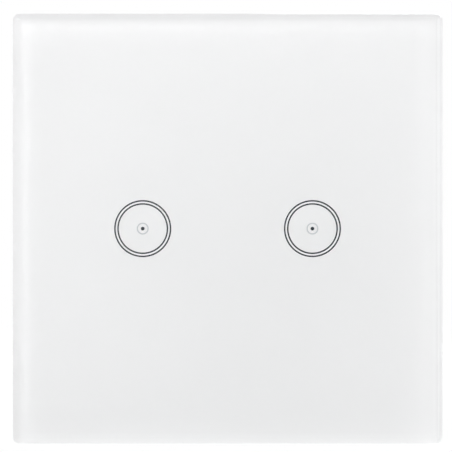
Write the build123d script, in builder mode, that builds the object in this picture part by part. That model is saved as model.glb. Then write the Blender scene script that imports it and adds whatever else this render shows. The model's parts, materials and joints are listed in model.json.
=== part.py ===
from build123d import *
from math import radians, sqrt, tan
import os

# Two gang touch light switch for a wall box, in millimetres.
# The origin is the centre of the switch on the wall plane. Seen from the room, X points right and
# Z up, and Y points into the wall. Heights are measured from the wall plane towards the room, so
# what lies inside the wall box has a negative height.

# Clearances
slide_gap = 0.2
seat_gap = 0.2
fit_gap = 0.15
loose_gap = 0.3
contact_gap = 0.05

# Glass panel and the layers on its back
panel_size = 86.0
panel_corner_radius = 1.4
glass_thickness = 3.0
glass_edge_radius = 1.3
glass_back_chamfer = 0.3
print_thickness = 0.1
adhesive_thickness = 0.2

# Marks in the print, one set for each touch field
field_spacing = 34.0
ring_radii = (5.57, 4.95)
ring_line_width = 0.29
dot_radius = 0.37
halo_radius = 1.07
halo_line_width = 0.24

# Plastic frame behind the glass
frame_setback = 0.8
frame_plate_thickness = 1.2
frame_wall_thickness = 2.0
frame_ledge = 9.2
frame_corner_radius = 1.2
frame_wall_gap = 0.6
frame_side_gap = 0.4
notch_width = 9.0
notch_height = 1.4

# Base on the wall and its steel strap
floor_thickness = 2.2
rim_thickness = 1.5
carrier_corner_radius = 1.0
strap_thickness = 1.0
strap_margin = 2.8
strap_corner_radius = 3.0
strap_height = 62.0
strap_peg_radius = 1.6
strap_peg_height = 22.0
fixing_spacing = 60.3
slot_length = 8.0
slot_half_width = 2.1
screw_access_radius = 3.8

# Spring clips that hold the frame to the base
clip_height = 22.0
clip_width = 6.0
clip_thickness = 0.3
clip_foot_length = 5.0
clip_reach = 0.75
clip_bump_height = 4.2
clip_peg_radius = 0.8
groove_depth = 1.0
groove_half_height = 0.75

# Touch circuit board
board_margin = 7.3
board_standoff = 0.6
touch_board_thickness = 1.2
sensor_room = 3.3
board_peg_inset = 4.0
board_boss_radius = 2.2
board_peg_radius = 0.9
peg_head_height = 0.6
peg_head_radius = 1.5

# Parts on the touch circuit board
light_ring_outer_radius = 6.3
light_ring_inner_radius = 4.3
light_ring_foot_width = 1.2
led_length = 1.6
led_width = 0.8
led_height = 0.5
leds_per_ring = 3
light_pipe_radius = 0.8
light_pipe_foot_radius = 1.5
light_pipe_pocket_radius = 1.05
spring_radius = 2.9
spring_wire = 0.5
spring_pitch = 1.1
spring_foot_tail = 0.5
radio_board_width = 24.0
radio_board_depth = 16.0
radio_board_thickness = 0.8
radio_board_height = 19.0
radio_pad_pitch = 1.5
radio_pads_per_side = 8
radio_chip_size = 5.0
radio_chip_thickness = 0.9
shield_width = 15.0
shield_depth = 12.0
shield_height = 1.9
shield_wall = 0.2
shield_shift = 3.3
shield_corner_radius = 0.6
chip_length = 9.9
chip_width = 3.9
chip_body_height = 1.4
chip_height = -16.0
chip_lead_pitch = 1.27
chip_leads_per_side = 8
chip_lead_width = 0.4
chip_lead_reach = 1.05
chip_lead_thickness = 0.25
passive_length = 2.0
passive_width = 1.25
passive_thickness = 0.6
passive_columns = 18.0
passive_rows = 3.6
passive_margin = 2.0

# Plug connection between the two boards
pin_count = 6
pin_pitch = 2.54
pin_width = 0.64
connector_width = 2.5
connector_gap = 0.6
header_thickness = 1.5
pin_protrusion = 0.6
pin_depth = 2.0

# Box in the wall
box_size = 48.0
box_depth = 23.0
box_wall = 1.6
box_end_wall = 1.5
post_radius = 2.5
post_gap = 0.4
post_inset = 1.94
boss_radius = 1.75
vent_count = 5
vent_length = 9.0
vent_width = 1.2
vent_pitch = 3.0

# Screws that join base and box
housing_screw_radius = 1.0
housing_screw_head_radius = 1.9
housing_screw_length = 10.0
countersink_angle = 90
cross_width = 0.5
cross_depth = 0.5

# Power circuit board
power_board_gap = 1.5
power_board_thickness = 1.6
lead_radius = 0.3
lead_tail = 1.0

# Terminals
pole_count = 4
pole_pitch = 7.0
terminal_front_wall = 2.2
terminal_back_wall = 3.0
terminal_floor = 1.2
terminal_side_wall = 0.8
cage_width = 5.2
cage_length = 4.6
cage_wall = 0.8
cage_floor = 0.8
cage_top = 1.4
cage_travel = 2.8
wire_room = 3.2
bar_thickness = 1.0
bar_pin_width = 1.0
terminal_screw_radius = 1.45
screw_head_radius = 1.95
screw_head_height = 1.8
screw_head_gap = 0.5
screw_slot_width = 0.7
screw_slot_depth = 0.9
screw_recess = 0.4
wire_funnel = 0.4

# Relays
relay_spacing = 21.0
relay_gap = 0.5
relay_length = 18.4
relay_width = 10.2
relay_rise = 15.3
relay_wall = 0.6
relay_base_thickness = 2.0
relay_flange_thickness = 0.6
yoke_thickness = 1.2
yoke_width = 7.0
yoke_clearance = 0.4
hinge_gap = 0.1
yoke_foot_length = 10.5
core_radius = 1.5
core_head_radius = 2.5
core_head_thickness = 0.8
bobbin_wall = 0.5
bobbin_size = 8.6
bobbin_flange = 0.7
coil_radius = 4.1
coil_window = 0.7
bobbin_rise = 7.6
core_gap = 0.4
armature_thickness = 1.0
armature_overhang = 1.0
leaf_thickness = 0.3
leaf_width = 3.0
contact_radius = 1.2
contact_thickness = 0.7
contact_opening = 0.68
fixed_contact_thickness = 0.5
contact_strip_thickness = 0.6
contact_strip_width = 3.4
spring_leaf_thickness = 0.2
spring_leaf_foot = 3.0
spring_leaf_lip = 1.6
coil_pin_place = 4.0
flat_pin_width = 1.0

# Other parts on the power board: middle across the box and height over the relays, size seen from
# the room, and rise off the board
film_capacitor_seat = (-13.2, 4.6)
film_capacitor_size = (13.0, 6.0, 11.0)
film_capacitor_leads = 10.0
varistor_seat = (-10.3, 9.9)
varistor_radius = 3.8
varistor_thickness = 3.4
varistor_leads = 5.0
fuse_seat = (-9.8, 14.0)
fuse_size = (8.4, 4.0, 7.5)
fuse_leads = 5.08
main_capacitor_seat = (13.4, 5.8)
main_capacitor_radius = 4.0
main_capacitor_rise = 12.0
main_capacitor_leads = 3.5
output_capacitor_seat = (11.3, 13.5)
output_capacitor_radius = 3.15
output_capacitor_rise = 11.0
output_capacitor_leads = 2.5
capacitor_neck = 0.35
capacitor_neck_rise = 1.4
capacitor_neck_width = 0.7
boxed_part_radius = 0.5
varistor_edge_radius = 1.0
inductor_seat = (1.4, 15.2)
inductor_radius = 1.5
inductor_rise = 9.0
inductor_leads = 1.8
bridge_drop = 3.5
bridge_size = (4.7, 3.9, 1.5)
bridge_lead_pitch = 2.5
bridge_lead_reach = 0.6
transformer_seat = (1.4, 7.4)
transformer_width = 13.0
transformer_core_depth = 5.6
transformer_leg = 2.4
transformer_centre_leg = 3.0
transformer_base_depth = 12.0
transformer_lift = 1.4
transformer_window_rise = 7.6
transformer_winding_depth = 10.6
transformer_bobbin_wall = 0.5
transformer_winding_radius = 2.0
transformer_pins_per_side = 3
transformer_pin_pitch = 4.0
transformer_pin_inset = 1.0

# Heights of the layers, from the wall plane towards the room
touch_board_back = floor_thickness + board_standoff
touch_board_front = touch_board_back + touch_board_thickness
print_back = touch_board_front + sensor_room
print_front = print_back + print_thickness
frame_front = print_back - adhesive_thickness
frame_plate_back = frame_front - frame_plate_thickness
rim_top = frame_plate_back - seat_gap
sensor_top = print_back - seat_gap

# Heights inside the wall box
power_board_front = -power_board_gap
power_board_back = power_board_front - power_board_thickness
lead_end = power_board_front + lead_tail
chamber_end = box_end_wall - box_depth

# Heights in a terminal with its clamp open, from the board towards the back of the box
cage_front = power_board_back - terminal_floor - loose_gap
bar_front = cage_front - cage_floor - wire_room
bar_back = bar_front - bar_thickness
cage_back = bar_back - loose_gap - cage_top
screw_tip = bar_back - seat_gap
screw_head_front = cage_back - cage_travel - screw_head_gap
screw_head_back = screw_head_front - screw_head_height
terminal_end = screw_head_back - screw_recess
step_end = terminal_end - seat_gap
step_depth = box_end_wall - step_end
wire_middle = bar_front + wire_room / 2

# Places in a terminal across the box: the block stands on the lower wall of the box
wire_width = cage_width - 2 * cage_wall
bar_width = wire_width - 2 * slide_gap
terminal_front = -box_size / 2 + box_wall + seat_gap
shaft_front = terminal_front + terminal_front_wall
shaft_back = shaft_front + cage_length + 2 * slide_gap
terminal_height = (shaft_front + shaft_back) / 2
terminal_back = shaft_back + terminal_back_wall
step_height = terminal_back + loose_gap
terminal_width = (pole_count - 1) * pole_pitch + cage_width + 2 * slide_gap + 2 * terminal_side_wall
pole_places = [(i - (pole_count - 1) / 2) * pole_pitch for i in range(pole_count)]

# Corners of the box: cut so that the terminal block just fits, with the posts against the cuts
corner_sum = terminal_width / 2 - terminal_front + loose_gap * sqrt(2)
box_chamfer = box_size - 2 * box_wall - corner_sum + box_wall * (2 - sqrt(2))
post_x = terminal_width / 2 + post_gap + post_radius
post_z = corner_sum - post_inset * sqrt(2) - post_x
post_centres = [(x, z) for x in (-post_x, post_x) for z in (-post_z, post_z)]

# Places on the power board: the relays stand over the terminals, all other parts over the relays
relay_height = step_height + box_wall + relay_gap + relay_width / 2
relay_top = relay_height + relay_width / 2
connector_height = relay_top + connector_gap
bridge_place = (0, relay_height - bridge_drop)


def over_relays(seat):
    """The place on the power board for a part given by its height over the relays."""
    across, height = seat
    return (across, relay_top + height)


film_capacitor_place = over_relays(film_capacitor_seat)
varistor_place = over_relays(varistor_seat)
fuse_place = over_relays(fuse_seat)
main_capacitor_place = over_relays(main_capacitor_seat)
output_capacitor_place = over_relays(output_capacitor_seat)
inductor_place = over_relays(inductor_seat)
transformer_place = over_relays(transformer_seat)

# Outline sizes that follow from the front panel
print_size = panel_size - 2 * (glass_back_chamfer + fit_gap)
frame_size = panel_size - 2 * frame_setback
frame_inner_size = frame_size - 2 * frame_wall_thickness
carrier_size = frame_inner_size - 2 * frame_side_gap
rim_inner_size = carrier_size - 2 * rim_thickness
touch_board_size = rim_inner_size - 2 * board_margin
frame_opening = frame_size - 2 * frame_ledge
strap_width = carrier_size - 2 * strap_margin

field_centres = [(-field_spacing / 2, 0), (field_spacing / 2, 0)]
fixing_centres = [(-fixing_spacing / 2, 0), (fixing_spacing / 2, 0)]
board_peg_place = touch_board_size / 2 - board_peg_inset
board_peg_centres = [(x, z) for x in (-board_peg_place, board_peg_place)
                     for z in (-board_peg_place, board_peg_place)]
strap_peg_centres = [(x * fixing_spacing / 2, z * strap_peg_height) for x in (-1, 1) for z in (-1, 1)]
clip_root = rim_inner_size / 2 + clip_thickness / 2 + fit_gap

os.makedirs("parts", exist_ok=True)


def face_plane(height):
    """The plane parallel to the wall at this height, with X right and Z up."""
    return Plane.XZ.offset(height)


def save(piece, name):
    """Label a finished piece and write it."""
    piece.part.label = name
    export_step(piece.part, f"parts/{name}.step")


def box_outline(inset):
    """The eight sided outline of the wall box, drawn this far inside its outer face."""
    side = box_size - 2 * inset
    with BuildSketch(mode=Mode.PRIVATE) as outline:
        Rectangle(side, side)
        chamfer(outline.vertices(), length=box_chamfer - inset * (2 - sqrt(2)))
    return outline.sketch


def clip_pegs():
    """Draw the pegs that hold the feet of the spring clips."""
    peg_place = clip_root - clip_foot_length / 2
    with Locations(*[(x * peg_place, z * clip_height) for x in (-1, 1) for z in (-1, 1)]):
        Circle(clip_peg_radius)


# Glass panel, with a rounded front edge
with BuildPart() as glass_panel:
    with BuildSketch(face_plane(print_front)):
        RectangleRounded(panel_size, panel_size, panel_corner_radius)
    extrude(amount=glass_thickness)
    fillet(glass_panel.faces().sort_by(Axis.Y)[0].edges(), radius=glass_edge_radius)
    chamfer(glass_panel.faces().sort_by(Axis.Y)[-1].edges(), length=glass_back_chamfer)
save(glass_panel, "glass_panel")

# Marks of both touch fields: dark rings and dots, and a pale circle round each dot
with BuildSketch() as tint_marks:
    for ring_radius in ring_radii:
        with Locations(*field_centres):
            Circle(ring_radius + ring_line_width / 2)
            Circle(ring_radius - ring_line_width / 2, mode=Mode.SUBTRACT)
    with Locations(*field_centres):
        Circle(dot_radius)

with BuildSketch() as halo_marks:
    with Locations(*field_centres):
        Circle(halo_radius + halo_line_width / 2)
        Circle(halo_radius - halo_line_width / 2, mode=Mode.SUBTRACT)

with BuildPart() as panel_print:
    with BuildSketch(face_plane(print_back)):
        RectangleRounded(print_size, print_size, panel_corner_radius)
        add(tint_marks.sketch, mode=Mode.SUBTRACT)
        add(halo_marks.sketch, mode=Mode.SUBTRACT)
    extrude(amount=print_thickness)
save(panel_print, "panel_print")

with BuildPart() as window_tint:
    with BuildSketch(face_plane(print_back)):
        add(tint_marks.sketch)
    extrude(amount=print_thickness)
save(window_tint, "window_tint")

with BuildPart() as halo_print:
    with BuildSketch(face_plane(print_back)):
        add(halo_marks.sketch)
    extrude(amount=print_thickness)
save(halo_print, "halo_print")

with BuildPart() as panel_adhesive:
    with BuildSketch(face_plane(frame_front)):
        Rectangle(frame_size - 2 * frame_corner_radius, frame_size - 2 * frame_corner_radius)
        Rectangle(frame_opening, frame_opening, mode=Mode.SUBTRACT)
    extrude(amount=adhesive_thickness)
save(panel_adhesive, "panel_adhesive")

# Panel frame: a plate under the glass with a wall round it, clip grooves and a pry notch
with BuildPart() as panel_frame:
    with BuildSketch(face_plane(frame_front)):
        RectangleRounded(frame_size, frame_size, frame_corner_radius)
        Rectangle(frame_opening, frame_opening, mode=Mode.SUBTRACT)
    extrude(amount=-frame_plate_thickness)
    with BuildSketch(face_plane(frame_plate_back)):
        RectangleRounded(frame_size, frame_size, frame_corner_radius)
        Rectangle(frame_inner_size, frame_inner_size, mode=Mode.SUBTRACT)
    extrude(amount=frame_wall_gap - frame_plate_back)
    with Locations((0, -frame_wall_gap, -frame_size / 2)):
        Box(notch_width, 2 * notch_height, 2 * frame_wall_thickness + 2 * loose_gap,
            mode=Mode.SUBTRACT)
    for side in (-1, 1):
        with Locations(*[(side * frame_inner_size / 2, -clip_bump_height, z * clip_height)
                         for z in (-1, 1)]):
            Box(2 * groove_depth, 2 * groove_half_height, clip_width + 2 * frame_side_gap,
                mode=Mode.SUBTRACT)
save(panel_frame, "panel_frame")

# Base: a tray with its floor on the wall, recessed at the back for the strap and the box
with BuildPart() as carrier:
    with BuildSketch(face_plane(0)):
        RectangleRounded(carrier_size, carrier_size, carrier_corner_radius)
    extrude(amount=rim_top)
    with BuildSketch(face_plane(floor_thickness)):
        Rectangle(rim_inner_size, rim_inner_size)
    extrude(amount=rim_top - floor_thickness, mode=Mode.SUBTRACT)
    with BuildSketch(face_plane(0)):
        Rectangle(strap_width + 2 * fit_gap, strap_height + 2 * fit_gap)
    extrude(amount=strap_thickness, mode=Mode.SUBTRACT)
    # Pegs for the strap, bosses that press on the power board, and pegs for the touch board
    with BuildSketch(face_plane(strap_thickness)):
        with Locations(*strap_peg_centres):
            Circle(strap_peg_radius)
    extrude(amount=-strap_thickness)
    with BuildSketch(face_plane(strap_thickness)):
        with Locations(*post_centres):
            Circle(boss_radius)
    extrude(amount=power_board_front - strap_thickness)
    with BuildSketch(face_plane(floor_thickness)):
        with Locations(*board_peg_centres):
            Circle(board_boss_radius)
    extrude(amount=board_standoff)
    with BuildSketch(face_plane(touch_board_back)):
        with Locations(*board_peg_centres):
            Circle(board_peg_radius)
    extrude(amount=touch_board_thickness)
    with BuildSketch(face_plane(touch_board_front)):
        with Locations(*board_peg_centres):
            Circle(peg_head_radius)
    extrude(amount=peg_head_height)
    with BuildSketch(face_plane(floor_thickness)):
        clip_pegs()
    extrude(amount=clip_thickness + peg_head_height)
    # Windows in the rim for the clips
    with Locations(*[(x * (carrier_size - rim_thickness) / 2, -(floor_thickness + rim_top) / 2,
                      z * clip_height) for x in (-1, 1) for z in (-1, 1)]):
        Box(2 * rim_thickness, rim_top - floor_thickness, clip_width + 2 * loose_gap,
            mode=Mode.SUBTRACT)
    # Ways through the floor for the box screws, the plug connection and the housing screws
    with BuildSketch(face_plane(0)):
        with Locations(*fixing_centres):
            SlotOverall(slot_length - 2 * slot_half_width + 2 * screw_access_radius,
                        2 * screw_access_radius)
        with Locations((0, connector_height)):
            Rectangle(pin_count * pin_pitch + 2 * loose_gap, connector_width + 2 * loose_gap)
    extrude(amount=floor_thickness, mode=Mode.SUBTRACT)
    with Locations(face_plane(floor_thickness)):
        with Locations(*post_centres):
            CounterSinkHole(housing_screw_radius + contact_gap, housing_screw_head_radius,
                            depth=floor_thickness - power_board_front,
                            counter_sink_angle=countersink_angle)
save(carrier, "carrier")

# Steel strap round the box, flush with the wall plane, with slots for the box screws
with BuildPart() as mounting_strap:
    with BuildSketch(face_plane(0)):
        RectangleRounded(strap_width, strap_height, strap_corner_radius)
        add(box_outline(-fit_gap), mode=Mode.SUBTRACT)
        with Locations(*fixing_centres):
            SlotOverall(slot_length, 2 * slot_half_width, mode=Mode.SUBTRACT)
        with Locations(*strap_peg_centres):
            Circle(strap_peg_radius + contact_gap, mode=Mode.SUBTRACT)
    extrude(amount=strap_thickness)
save(mounting_strap, "mounting_strap")

# Spring clips: bent steel strips with a foot on the floor and a bump in the frame's groove
bump_place = frame_inner_size / 2 + clip_reach
with BuildPart() as panel_clips:
    for level in (-1, 1):
        with BuildSketch(Plane.XY.offset(level * clip_height - clip_width / 2)):
            with BuildLine():
                Polyline((clip_root - clip_foot_length, -floor_thickness - clip_thickness / 2),
                         (clip_root, -floor_thickness - clip_thickness / 2),
                         (clip_root, -clip_bump_height + groove_half_height),
                         (bump_place - clip_thickness / 2, -clip_bump_height),
                         (clip_root, -rim_top + clip_thickness / 2))
            trace(line_width=clip_thickness)
        extrude(amount=clip_width)
    with BuildSketch(face_plane(floor_thickness)):
        clip_pegs()
    extrude(amount=clip_thickness, mode=Mode.SUBTRACT)
    mirror(about=Plane.YZ)
save(panel_clips, "panel_clips")

# Wall box: eight sided, stepped over the terminals, with posts for the board and the screws
with BuildPart() as rear_box:
    with BuildSketch(face_plane(-box_depth)):
        add(box_outline(0))
    extrude(amount=box_depth + strap_thickness)
    with BuildSketch(face_plane(-box_depth)):
        with Locations((0, step_height)):
            Rectangle(box_size, box_size, align=(Align.CENTER, Align.MAX))
    extrude(amount=box_depth - step_depth, mode=Mode.SUBTRACT)
    with BuildSketch(face_plane(step_end)):
        add(box_outline(box_wall))
    extrude(amount=strap_thickness - step_end, mode=Mode.SUBTRACT)
    with BuildSketch(face_plane(chamber_end)):
        add(box_outline(box_wall))
        with Locations((0, step_height + box_wall)):
            Rectangle(box_size, box_size, align=(Align.CENTER, Align.MIN), mode=Mode.INTERSECT)
    extrude(amount=step_end - chamber_end, mode=Mode.SUBTRACT)
    # Posts from the end walls to the power board
    for post_foot, row in ((chamber_end, post_z), (step_end, -post_z)):
        with BuildSketch(face_plane(post_foot)):
            with Locations((-post_x, row), (post_x, row)):
                Circle(post_radius)
        extrude(amount=power_board_back - post_foot)
    with BuildSketch(face_plane(power_board_back)):
        with Locations(*post_centres):
            Circle(housing_screw_radius + contact_gap)
    extrude(amount=-housing_screw_length, mode=Mode.SUBTRACT)
    # Wire entries in the lower wall and ways to the terminal screws in the step
    with BuildSketch(Plane.XY.offset(-box_size / 2)):
        with Locations(*[(x, -wire_middle) for x in pole_places]):
            RectangleRounded(wire_width + 2 * wire_funnel, wire_room + 2 * wire_funnel, wire_funnel)
    extrude(amount=box_wall, mode=Mode.SUBTRACT)
    with BuildSketch(face_plane(-step_depth)):
        with Locations(*[(x, terminal_height) for x in pole_places]):
            Circle(screw_head_radius + 2 * slide_gap)
    extrude(amount=box_end_wall, mode=Mode.SUBTRACT)
    # Vent slots in the end wall
    with BuildSketch(face_plane(-box_depth)):
        with Locations((0, (box_size / 2 + step_height) / 2)):
            with GridLocations(0, vent_pitch, 1, vent_count):
                SlotOverall(vent_length, vent_width)
    extrude(amount=box_end_wall, mode=Mode.SUBTRACT)
save(rear_box, "rear_box")

# Countersunk screws from the base through the power board into the posts of the box
head_cone_height = housing_screw_head_radius / tan(radians(countersink_angle / 2))
with BuildPart() as housing_screws:
    with BuildSketch(face_plane(floor_thickness)):
        with Locations(*post_centres):
            Circle(housing_screw_radius)
    extrude(amount=-housing_screw_length)
    for x, z in post_centres:
        with Locations(Location((x, -floor_thickness, z), (-90, 0, 0))):
            Cone(housing_screw_head_radius, 0, head_cone_height,
                 align=(Align.CENTER, Align.CENTER, Align.MIN))
            for turn in (0, 90):
                Box(2 * housing_screw_radius, cross_width, 2 * cross_depth, rotation=(0, 0, turn),
                    mode=Mode.SUBTRACT)
save(housing_screws, "housing_screws")

# Touch board, with notches for the box screws
pin_places = [((i - (pin_count - 1) / 2) * pin_pitch, connector_height) for i in range(pin_count)]
pin_hole_radius = pin_width / sqrt(2) + contact_gap
spring_height = sensor_room - spring_wire - contact_gap


def spring_line(centre):
    """The centre line of the touch spring in the middle of a touch field."""
    x, z = centre
    with BuildLine(mode=Mode.PRIVATE) as line:
        Helix(spring_pitch, spring_height, spring_radius,
              center=(x, -touch_board_front - spring_wire / 2, z), direction=(0, -1, 0))
    return line.line


spring_feet = [spring_line(centre) @ 0 for centre in field_centres]

with BuildPart() as touch_board:
    with BuildSketch(face_plane(touch_board_back)):
        RectangleRounded(touch_board_size, touch_board_size, carrier_corner_radius)
        with Locations(*fixing_centres):
            SlotOverall(slot_length - 2 * slot_half_width + 2 * screw_access_radius,
                        2 * screw_access_radius, mode=Mode.SUBTRACT)
        with Locations(*board_peg_centres):
            Circle(board_peg_radius + contact_gap, mode=Mode.SUBTRACT)
        with Locations(*pin_places):
            Circle(pin_hole_radius, mode=Mode.SUBTRACT)
        with Locations(*[(foot.X, foot.Z) for foot in spring_feet]):
            Circle(spring_wire / 2 + contact_gap, mode=Mode.SUBTRACT)
    extrude(amount=touch_board_thickness)
save(touch_board, "touch_board")

# Chips of light under the rings and the dots
ring_middle_radius = (light_ring_outer_radius + light_ring_inner_radius) / 2
ring_lift = led_height + seat_gap
with BuildPart() as led_chips:
    with BuildSketch(face_plane(touch_board_front)):
        with Locations(*field_centres):
            Rectangle(led_length, led_width)
            with PolarLocations(ring_middle_radius, leds_per_ring, start_angle=90):
                Rectangle(led_width, led_length)
    extrude(amount=led_height)
save(led_chips, "led_chips")

# In each touch field: a light ring on feet, a light pipe over the middle chip and a touch spring
for side, centre in zip(("left", "right"), field_centres):
    with BuildPart() as light_ring:
        with BuildSketch(face_plane(touch_board_front + ring_lift)):
            with Locations(centre):
                Circle(light_ring_outer_radius)
                Circle(light_ring_inner_radius, mode=Mode.SUBTRACT)
        extrude(amount=sensor_top - touch_board_front - ring_lift)
        with BuildSketch(face_plane(touch_board_front)):
            with Locations(centre):
                with PolarLocations(ring_middle_radius, leds_per_ring, start_angle=270):
                    Rectangle(light_ring_foot_width, light_ring_foot_width)
        extrude(amount=ring_lift)
    save(light_ring, f"light_ring_{side}")

    with BuildPart() as light_pipe:
        with BuildSketch(face_plane(touch_board_front)):
            with Locations(centre):
                Circle(light_pipe_foot_radius)
        extrude(amount=2 * ring_lift)
        with BuildSketch(face_plane(touch_board_front)):
            with Locations(centre):
                Circle(light_pipe_pocket_radius)
        extrude(amount=ring_lift, mode=Mode.SUBTRACT)
        with BuildSketch(face_plane(touch_board_front + 2 * ring_lift)):
            with Locations(centre):
                Circle(light_pipe_radius)
        extrude(amount=sensor_top - touch_board_front - 2 * ring_lift)
    save(light_pipe, f"light_pipe_{side}")

    with BuildPart() as touch_spring:
        path = spring_line(centre)
        with BuildSketch(Plane(origin=path @ 0, z_dir=path % 0)):
            Circle(spring_wire / 2)
        sweep(path=path, is_frenet=True)
        foot = path @ 0
        with BuildSketch(face_plane(touch_board_back - spring_foot_tail)):
            with Locations((foot.X, foot.Z)):
                Circle(spring_wire / 2)
        extrude(amount=touch_board_thickness + spring_foot_tail + spring_wire / 2)
    save(touch_spring, f"touch_spring_{side}")

# Radio module: a small board with solder bays on two edges, a chip and a shield can over it
radio_board_front = touch_board_front + radio_board_thickness
with BuildPart() as radio_board:
    with BuildSketch(face_plane(touch_board_front)):
        with Locations((0, radio_board_height)):
            Rectangle(radio_board_width, radio_board_depth)
            with GridLocations(radio_board_width, radio_pad_pitch, 2, radio_pads_per_side):
                Circle(radio_pad_pitch / 4, mode=Mode.SUBTRACT)
    extrude(amount=radio_board_thickness)
save(radio_board, "radio_board")

with BuildPart() as radio_chip:
    with BuildSketch(face_plane(radio_board_front)):
        with Locations((-shield_shift, radio_board_height)):
            Rectangle(radio_chip_size, radio_chip_size)
    extrude(amount=radio_chip_thickness)
save(radio_chip, "radio_chip")

with BuildPart() as radio_shield:
    with BuildSketch(face_plane(radio_board_front)):
        with Locations((-shield_shift, radio_board_height)):
            RectangleRounded(shield_width, shield_depth, shield_corner_radius)
    extrude(amount=shield_height)
    with BuildSketch(face_plane(radio_board_front)):
        with Locations((-shield_shift, radio_board_height)):
            Rectangle(shield_width - 2 * shield_wall, shield_depth - 2 * shield_wall)
    extrude(amount=shield_height - shield_wall, mode=Mode.SUBTRACT)
save(radio_shield, "radio_shield")

# Touch chip, with its leads flat on the board, and the small parts round it
with BuildPart() as touch_chip:
    with BuildSketch(face_plane(touch_board_front)):
        with Locations((0, chip_height)):
            Rectangle(chip_length, chip_width)
    extrude(amount=chip_body_height)
    with BuildSketch(face_plane(touch_board_front)):
        with Locations((0, chip_height)):
            with GridLocations(chip_lead_pitch, chip_width + chip_lead_reach, chip_leads_per_side, 2):
                Rectangle(chip_lead_width, chip_lead_reach)
    extrude(amount=chip_lead_thickness)
save(touch_chip, "touch_chip")

with BuildPart() as board_passives:
    with BuildSketch(face_plane(touch_board_front)):
        with Locations((0, chip_height)):
            with GridLocations(passive_columns, passive_rows, 2, 3):
                Rectangle(passive_length, passive_width)
        with Locations((0, radio_board_height)):
            with GridLocations(radio_board_width + 2 * passive_margin, passive_rows, 2, 3):
                Rectangle(passive_width, passive_length)
    extrude(amount=passive_thickness)
save(board_passives, "board_passives")

# Plug connection: the header hangs below the touch board, the socket stands on the power board
header_back = touch_board_back - header_thickness
with BuildPart() as header_base:
    with BuildSketch(face_plane(header_back)):
        with Locations((0, connector_height)):
            Rectangle(pin_count * pin_pitch, connector_width)
        with Locations(*pin_places):
            Rectangle(pin_width, pin_width, mode=Mode.SUBTRACT)
    extrude(amount=header_thickness)
save(header_base, "header_base")

with BuildPart() as header_pins:
    with BuildSketch(face_plane(header_back - pin_depth)):
        with Locations(*pin_places):
            Rectangle(pin_width, pin_width)
    extrude(amount=pin_depth + header_thickness + touch_board_thickness + pin_protrusion)
save(header_pins, "header_pins")

with BuildPart() as socket_strip:
    with BuildSketch(face_plane(power_board_front)):
        with Locations((0, connector_height)):
            Rectangle(pin_count * pin_pitch, connector_width)
    extrude(amount=header_back - power_board_front)
    with BuildSketch(face_plane(header_back)):
        with Locations(*pin_places):
            Rectangle(pin_width + 2 * contact_gap, pin_width + 2 * contact_gap)
    extrude(amount=-pin_depth - seat_gap, mode=Mode.SUBTRACT)
save(socket_strip, "socket_strip")


def above_board(rise):
    """The plane parallel to the wall, this far above the parts side of the power board."""
    return face_plane(power_board_back - rise)


def lead_pair(place, spacing):
    """The places of the two leads of a part, side by side about its centre."""
    x, z = place
    return [(x - spacing / 2, z), (x + spacing / 2, z)]


def add_leads(places, rise=0.0):
    """Add round leads to the part being made, from this rise down through the board."""
    with BuildSketch(above_board(rise)) as leads:
        with Locations(*places):
            Circle(lead_radius)
    extrude(leads.sketch, amount=rise + lead_end - power_board_back)


# Places inside a relay, along it from its middle and up from the board
relay_places = [(-relay_spacing / 2, relay_height), (relay_spacing / 2, relay_height)]
relay_inner_half = relay_length / 2 - relay_wall
yoke_outer = -relay_inner_half + yoke_clearance
yoke_inner = yoke_outer + yoke_thickness
coil_place = yoke_inner + coil_window + bobbin_size / 2
bobbin_foot = relay_base_thickness + yoke_thickness
bobbin_top = bobbin_foot + bobbin_rise
core_top = bobbin_top + core_head_thickness
armature_rise = core_top + core_gap
yoke_top = armature_rise - hinge_gap
bobbin_tube_radius = core_radius + contact_gap + bobbin_wall
strip_outer = relay_inner_half - contact_strip_thickness
strip_inner = strip_outer - contact_strip_thickness
contact_place = relay_inner_half - 2 * contact_strip_thickness - contact_radius
moving_contact_rise = armature_rise + armature_thickness - contact_thickness
fixed_contact_rise = moving_contact_rise - contact_opening
strip_rise = fixed_contact_rise - fixed_contact_thickness
yoke_pin_place = (yoke_outer + yoke_inner) / 2
strip_pin_place = (strip_outer + strip_inner) / 2

coil_leads = [(x + coil_place, z + side * coil_pin_place) for x, z in relay_places
              for side in (-1, 1)]
flat_leads = [(x + place, z) for x, z in relay_places for place in (yoke_pin_place, strip_pin_place)]
bar_pin_height = terminal_back - loose_gap - bar_thickness / 2
bar_pins = [(x, bar_pin_height) for x in pole_places]
transformer_x, transformer_z = transformer_place
transformer_leads = [(transformer_x + (i - (transformer_pins_per_side - 1) / 2) * transformer_pin_pitch,
                      transformer_z + side * (transformer_base_depth / 2 - transformer_pin_inset))
                     for i in range(transformer_pins_per_side) for side in (-1, 1)]
round_leads = (coil_leads + transformer_leads
               + lead_pair(film_capacitor_place, film_capacitor_leads)
               + lead_pair(varistor_place, varistor_leads)
               + lead_pair(fuse_place, fuse_leads)
               + lead_pair(main_capacitor_place, main_capacitor_leads)
               + lead_pair(output_capacitor_place, output_capacitor_leads)
               + lead_pair(inductor_place, inductor_leads))

# Power board, clamped between the posts of the box and the bosses of the base
with BuildPart() as power_board:
    with BuildSketch(face_plane(power_board_back)):
        add(box_outline(box_wall + loose_gap))
        with Locations(*post_centres):
            Circle(housing_screw_radius + fit_gap, mode=Mode.SUBTRACT)
        with Locations(*round_leads):
            Circle(lead_radius + contact_gap, mode=Mode.SUBTRACT)
        with Locations(*flat_leads):
            Circle(flat_pin_width / sqrt(2), mode=Mode.SUBTRACT)
        with Locations(*bar_pins):
            Circle(bar_pin_width / sqrt(2) + contact_gap, mode=Mode.SUBTRACT)
    extrude(amount=power_board_thickness)
save(power_board, "power_board")

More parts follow.
